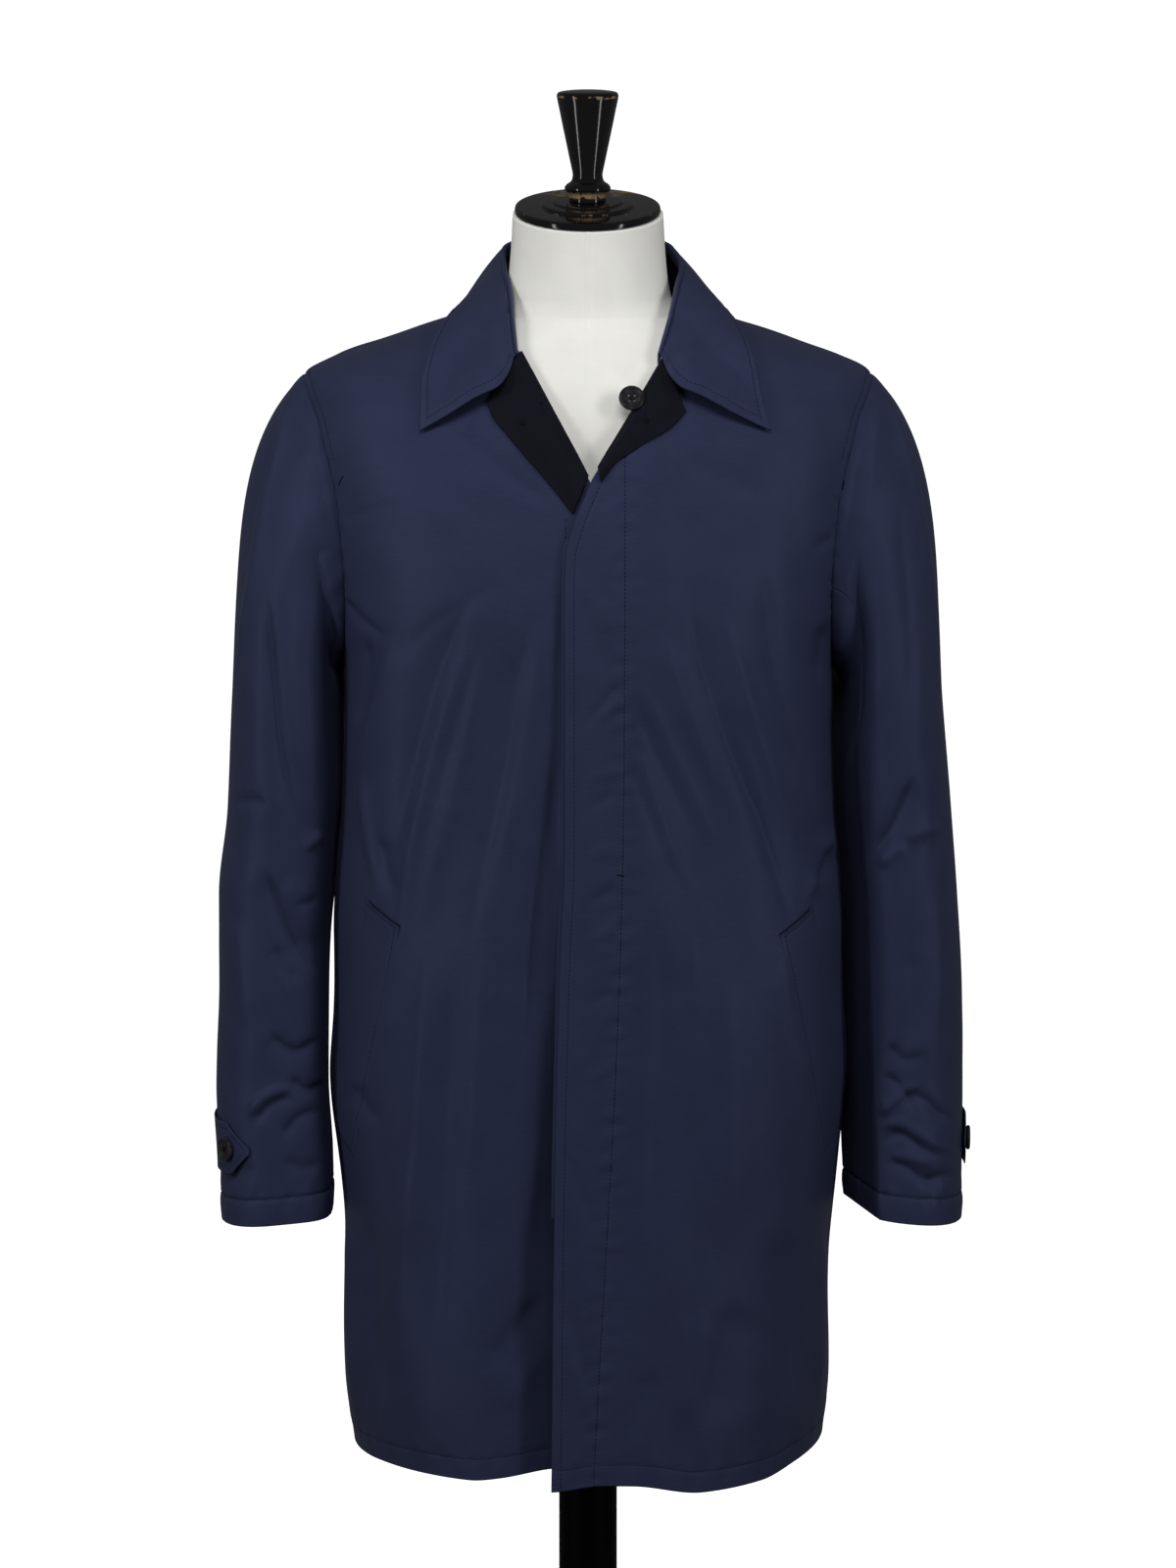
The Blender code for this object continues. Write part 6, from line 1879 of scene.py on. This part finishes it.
def bust():
    z = np.concatenate([[0.830, 0.8308, 0.833], np.linspace(0.838, 1.440, HIDDEN_ROWS),
                        np.linspace(1.4415, 1.5697, NECK_FORM_ROWS)])[:, None]
    turn = np.linspace(-math.pi, math.pi, FORM_COLUMNS, endpoint=False)
    bend = np.sign(turn) * np.abs(turn / math.pi) ** FRONT_CROWD * math.pi
    angle = bend[None, :] + 0 * z
    z = z + 0 * angle
    points = section_point(BUST, angle, z)
    out = unit(points * LEVEL)
    seam_z = NECK_SEAM_Z - NECK_SEAM_DIP * np.cos(angle)
    height = groove(z, seam_z, GROOVE_WIDTH, 0.0007)
    height = height + groove(points[..., 0], 0.0, 0.0010, 0.0005) * (np.cos(angle) > 0)
    height[:3] -= np.array([0.0030, 0.0010, 0.0002])[:, None]
    points = points + out * height[..., None]
    share = smooth_step(NECK_TILT_FROM, BUST.t[-1], z)
    points[..., 2] += points[..., 1] * NECK_TILT * share - SHOULDER_DROP * (1 - share)
    rows, cols = z.shape
    index = np.arange(rows * cols).reshape(rows, cols)
    ahead = np.roll(index, -1, axis=1)
    faces = np.stack([index[:-1], ahead[:-1], ahead[1:], index[1:]], axis=-1).reshape(-1, 4).tolist()
    caps = [points[0].mean(axis=0), points[-1].mean(axis=0)]
    faces += [(b, a, rows * cols) for a, b in zip(index[0], ahead[0])]
    faces += [(a, b, rows * cols + 1) for a, b in zip(index[-1], ahead[-1])]
    return np.vstack([points.reshape(-1, 3), caps]), faces


points, faces = bust()
turned_piece("bust", "bust", CANVAS.material, points, faces)

# %% [markdown]
# A coat button is a dished disc with a raised rim and four holes, sewn with crossed thread. The
# holes are cut with a Boolean, and the stitch tree lays the thread on two bent lines from hole to
# hole.

# %% Buttons
# share of the radius, share of the thickness
BUTTON_SHAPE = [(0.40, 0.0), (0.78, 0.0), (0.93, 0.12), (1.0, 0.34), (1.0, 0.62), (0.97, 0.84),
                (0.90, 0.98), (0.82, 1.0), (0.74, 0.93), (0.68, 0.76), (0.62, 0.66), (0.30, 0.60),
                (0.10, 0.60)]
# shares of the radius
HOLE_SPREAD = 0.21
HOLE_SIZE = 0.085
SHARP_EDGE = math.radians(38)


def button(name, at, facing, radius, thick):
    points, faces = spun([(r * radius, h * thick) for r, h in softened(BUTTON_SHAPE, 3)], 64)
    disc = piece(name, points, faces, None, [RESIN.material], np.zeros(len(faces)))
    drills = bmesh.new()
    for sx in (-1, 1):
        for sy in (-1, 1):
            made = bmesh.ops.create_cone(drills, cap_ends=True, segments=14, radius1=HOLE_SIZE * radius,
                                         radius2=HOLE_SIZE * radius, depth=4 * thick)
            aside = HOLE_SPREAD * radius
            bmesh.ops.translate(drills, verts=made["verts"], vec=(sx * aside, sy * aside, 0))
    mesh = bpy.data.meshes.new(name + "_drills")
    drills.to_mesh(mesh)
    drills.free()
    tool = bpy.data.objects.new(name + "_drills", mesh)
    bpy.context.scene.collection.objects.link(tool)
    cut = disc.modifiers.new("holes", "BOOLEAN")
    cut.object = tool
    cut.operation = "DIFFERENCE"
    cut.solver = "EXACT"
    bpy.context.view_layer.update()
    done = bpy.data.meshes.new_from_object(disc.evaluated_get(bpy.context.evaluated_depsgraph_get()))
    disc.modifiers.clear()
    bpy.data.objects.remove(tool)
    disc.data = done
    frame_of = button_frame(facing)
    place = np.zeros(len(done.vertices) * 3)
    done.vertices.foreach_get("co", place)
    done.vertices.foreach_set("co", (place.reshape(-1, 3) @ frame_of.T + at).ravel())
    done.polygons.foreach_set("use_smooth", np.full(len(done.polygons), True))
    done.set_sharp_from_angle(angle=SHARP_EDGE)
    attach(disc, "root")
    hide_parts(name)
    lines = []
    for start, end in (((-1, -1), (1, 1)), ((-1, 1), (1, -1))):
        t = np.linspace(-1, 1, 9)[:, None]
        flat = (np.array(start) * (1 - t) / 2 + np.array(end) * (1 + t) / 2) * HOLE_SPREAD * radius
        rise = thick * (0.50 + 0.28 * (1 - t ** 4))
        lines.append(np.hstack([flat, rise]) @ frame_of.T + at)
    return lines


def button_frame(facing):
    side = unit(np.cross(UP, facing))
    return np.stack([side, np.cross(facing, side), facing], axis=-1)


# %% All buttons
# radius, thickness
NECK_BUTTON = (0.0100, 0.0034)
CUFF_BUTTON = (0.0098, 0.0032)
CUFF_BUTTON_LIFT = 0.0004
lo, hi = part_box("neck_button")
neck_out = REVERS_MADE[1][2]
neck_facing = unit(neck_out[len(neck_out) // 3, 0])
neck_at = np.array((lo + hi) / 2) - neck_facing * NECK_BUTTON[1] / 2
threads = button("neck_button", neck_at, neck_facing, *NECK_BUTTON)
for mark, (spot, facing) in TAB_SPOTS.items():
    threads += button("cuff_button_" + mark, spot + facing * CUFF_BUTTON_LIFT, unit(facing), *CUFF_BUTTON)
sewing = stitched("button_thread", threads, DARK_THREAD_AND_SHADOW.material,
                  {"Pitch": 0.0004, "Length": 0.0008, "Thickness": 0.0007})
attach(sewing, "root")

# %% [markdown]
# The set is a pale floor under soft light: a wide box overhead, one at either side, one behind and a
# faint even sky fill the cloth evenly. They aren't seen in reflections, because the weave would then
# look wet. Two tall narrow strips are, and they draw the shine along the ridges and on the knob. The
# floor glows with painted light, none beside the coat and more away from it, as a lit background
# would look, so that it is clean white behind it.

# %% Floor
FLOOR_INNER, FLOOR_RADIUS = 0.3, 70.0
FLOOR_UNDER, FLOOR_TOP = -0.002, -0.0005
FLOOR = Finish("floor_painted_glow_finish", Roughness=0.9, Specular_IOR_Level=0.1, Emission_Strength=1.0)
place = FLOOR.object_place()
# Painted light: the floor glows by its distance from the middle, not at all within 0.4 m and fully beyond 1.9
# m.
distance = FLOOR.node("ShaderNodeVectorMath", {"operation": "LENGTH"}, {0: place}, out=1)
pale = FLOOR.blend(FLOOR.noise(place, 3.0), (0.84, 0.84, 0.84, 1), (0.86, 0.86, 0.86, 1))
painted_floor_glow = FLOOR.blend(distance.between(0.4, 1.9), (0.0, 0.0, 0.0, 1), (1.0, 1.0, 1.0, 1))
FLOOR.use(Base_Color=pale, Emission_Color=painted_floor_glow)
points, faces = spun([(FLOOR_INNER, FLOOR_UNDER), (FLOOR_RADIUS, FLOOR_UNDER),
                      (FLOOR_RADIUS, FLOOR_TOP), (FLOOR_INNER, FLOOR_TOP)], 96)
floor = piece("floor", points, faces, None, [FLOOR.material], np.zeros(len(faces)), smooth=False)
floor.visible_diffuse = False
floor.visible_glossy = False
print("floor", 2 * FLOOR_RADIUS, "m across")

# %% Sky and lamps
SKY_STRENGTH = 0.06
world = bpy.data.worlds.new("soft_sky")
world.use_nodes = True
world.node_tree.nodes["Background"].inputs["Color"].default_value = (1.0, 1.0, 1.0, 1.0)
world.node_tree.nodes["Background"].inputs["Strength"].default_value = SKY_STRENGTH
bpy.context.scene.world = world


def soft_box(name, at, aim, size, power):
    light = bpy.data.lights.new(name, "AREA")
    light.shape = "RECTANGLE"
    light.size, light.size_y = size
    light.energy = power
    made = bpy.data.objects.new(name, light)
    made.location = at
    made.rotation_euler = (Vector(aim) - Vector(at)).to_track_quat("-Z", "Y").to_euler()
    bpy.context.scene.collection.objects.link(made)
    return made


fill_lights = [
    soft_box("key_light", (-0.1, -1.75, 2.95), (0.0, 0.0, 1.3), (1.2, 0.7), 30),
    soft_box("side_light_a", (-1.9, -1.5, 2.3), (0.0, 0.0, 1.3), (0.7, 1.0), 25),
    soft_box("side_light_b", (1.9, -1.5, 2.3), (0.0, 0.0, 1.3), (0.7, 1.0), 22),
    soft_box("back_light", (-1.2, 2.8, 2.2), (0.0, 0.0, 1.3), (2.0, 1.0), 11),
]
for light in fill_lights:
    light.visible_glossy = False
soft_box("strip_light_a", (-2.4, -1.75, 1.2), (0.0, 0.0, 1.2), (0.25, 2.3), 7)
soft_box("strip_light_b", (2.4, -1.75, 1.2), (0.0, 0.0, 1.2), (0.25, 2.3), 6.5)
bpy.context.scene.view_settings.view_transform = "Standard"
print("lights:", len(bpy.data.lights))
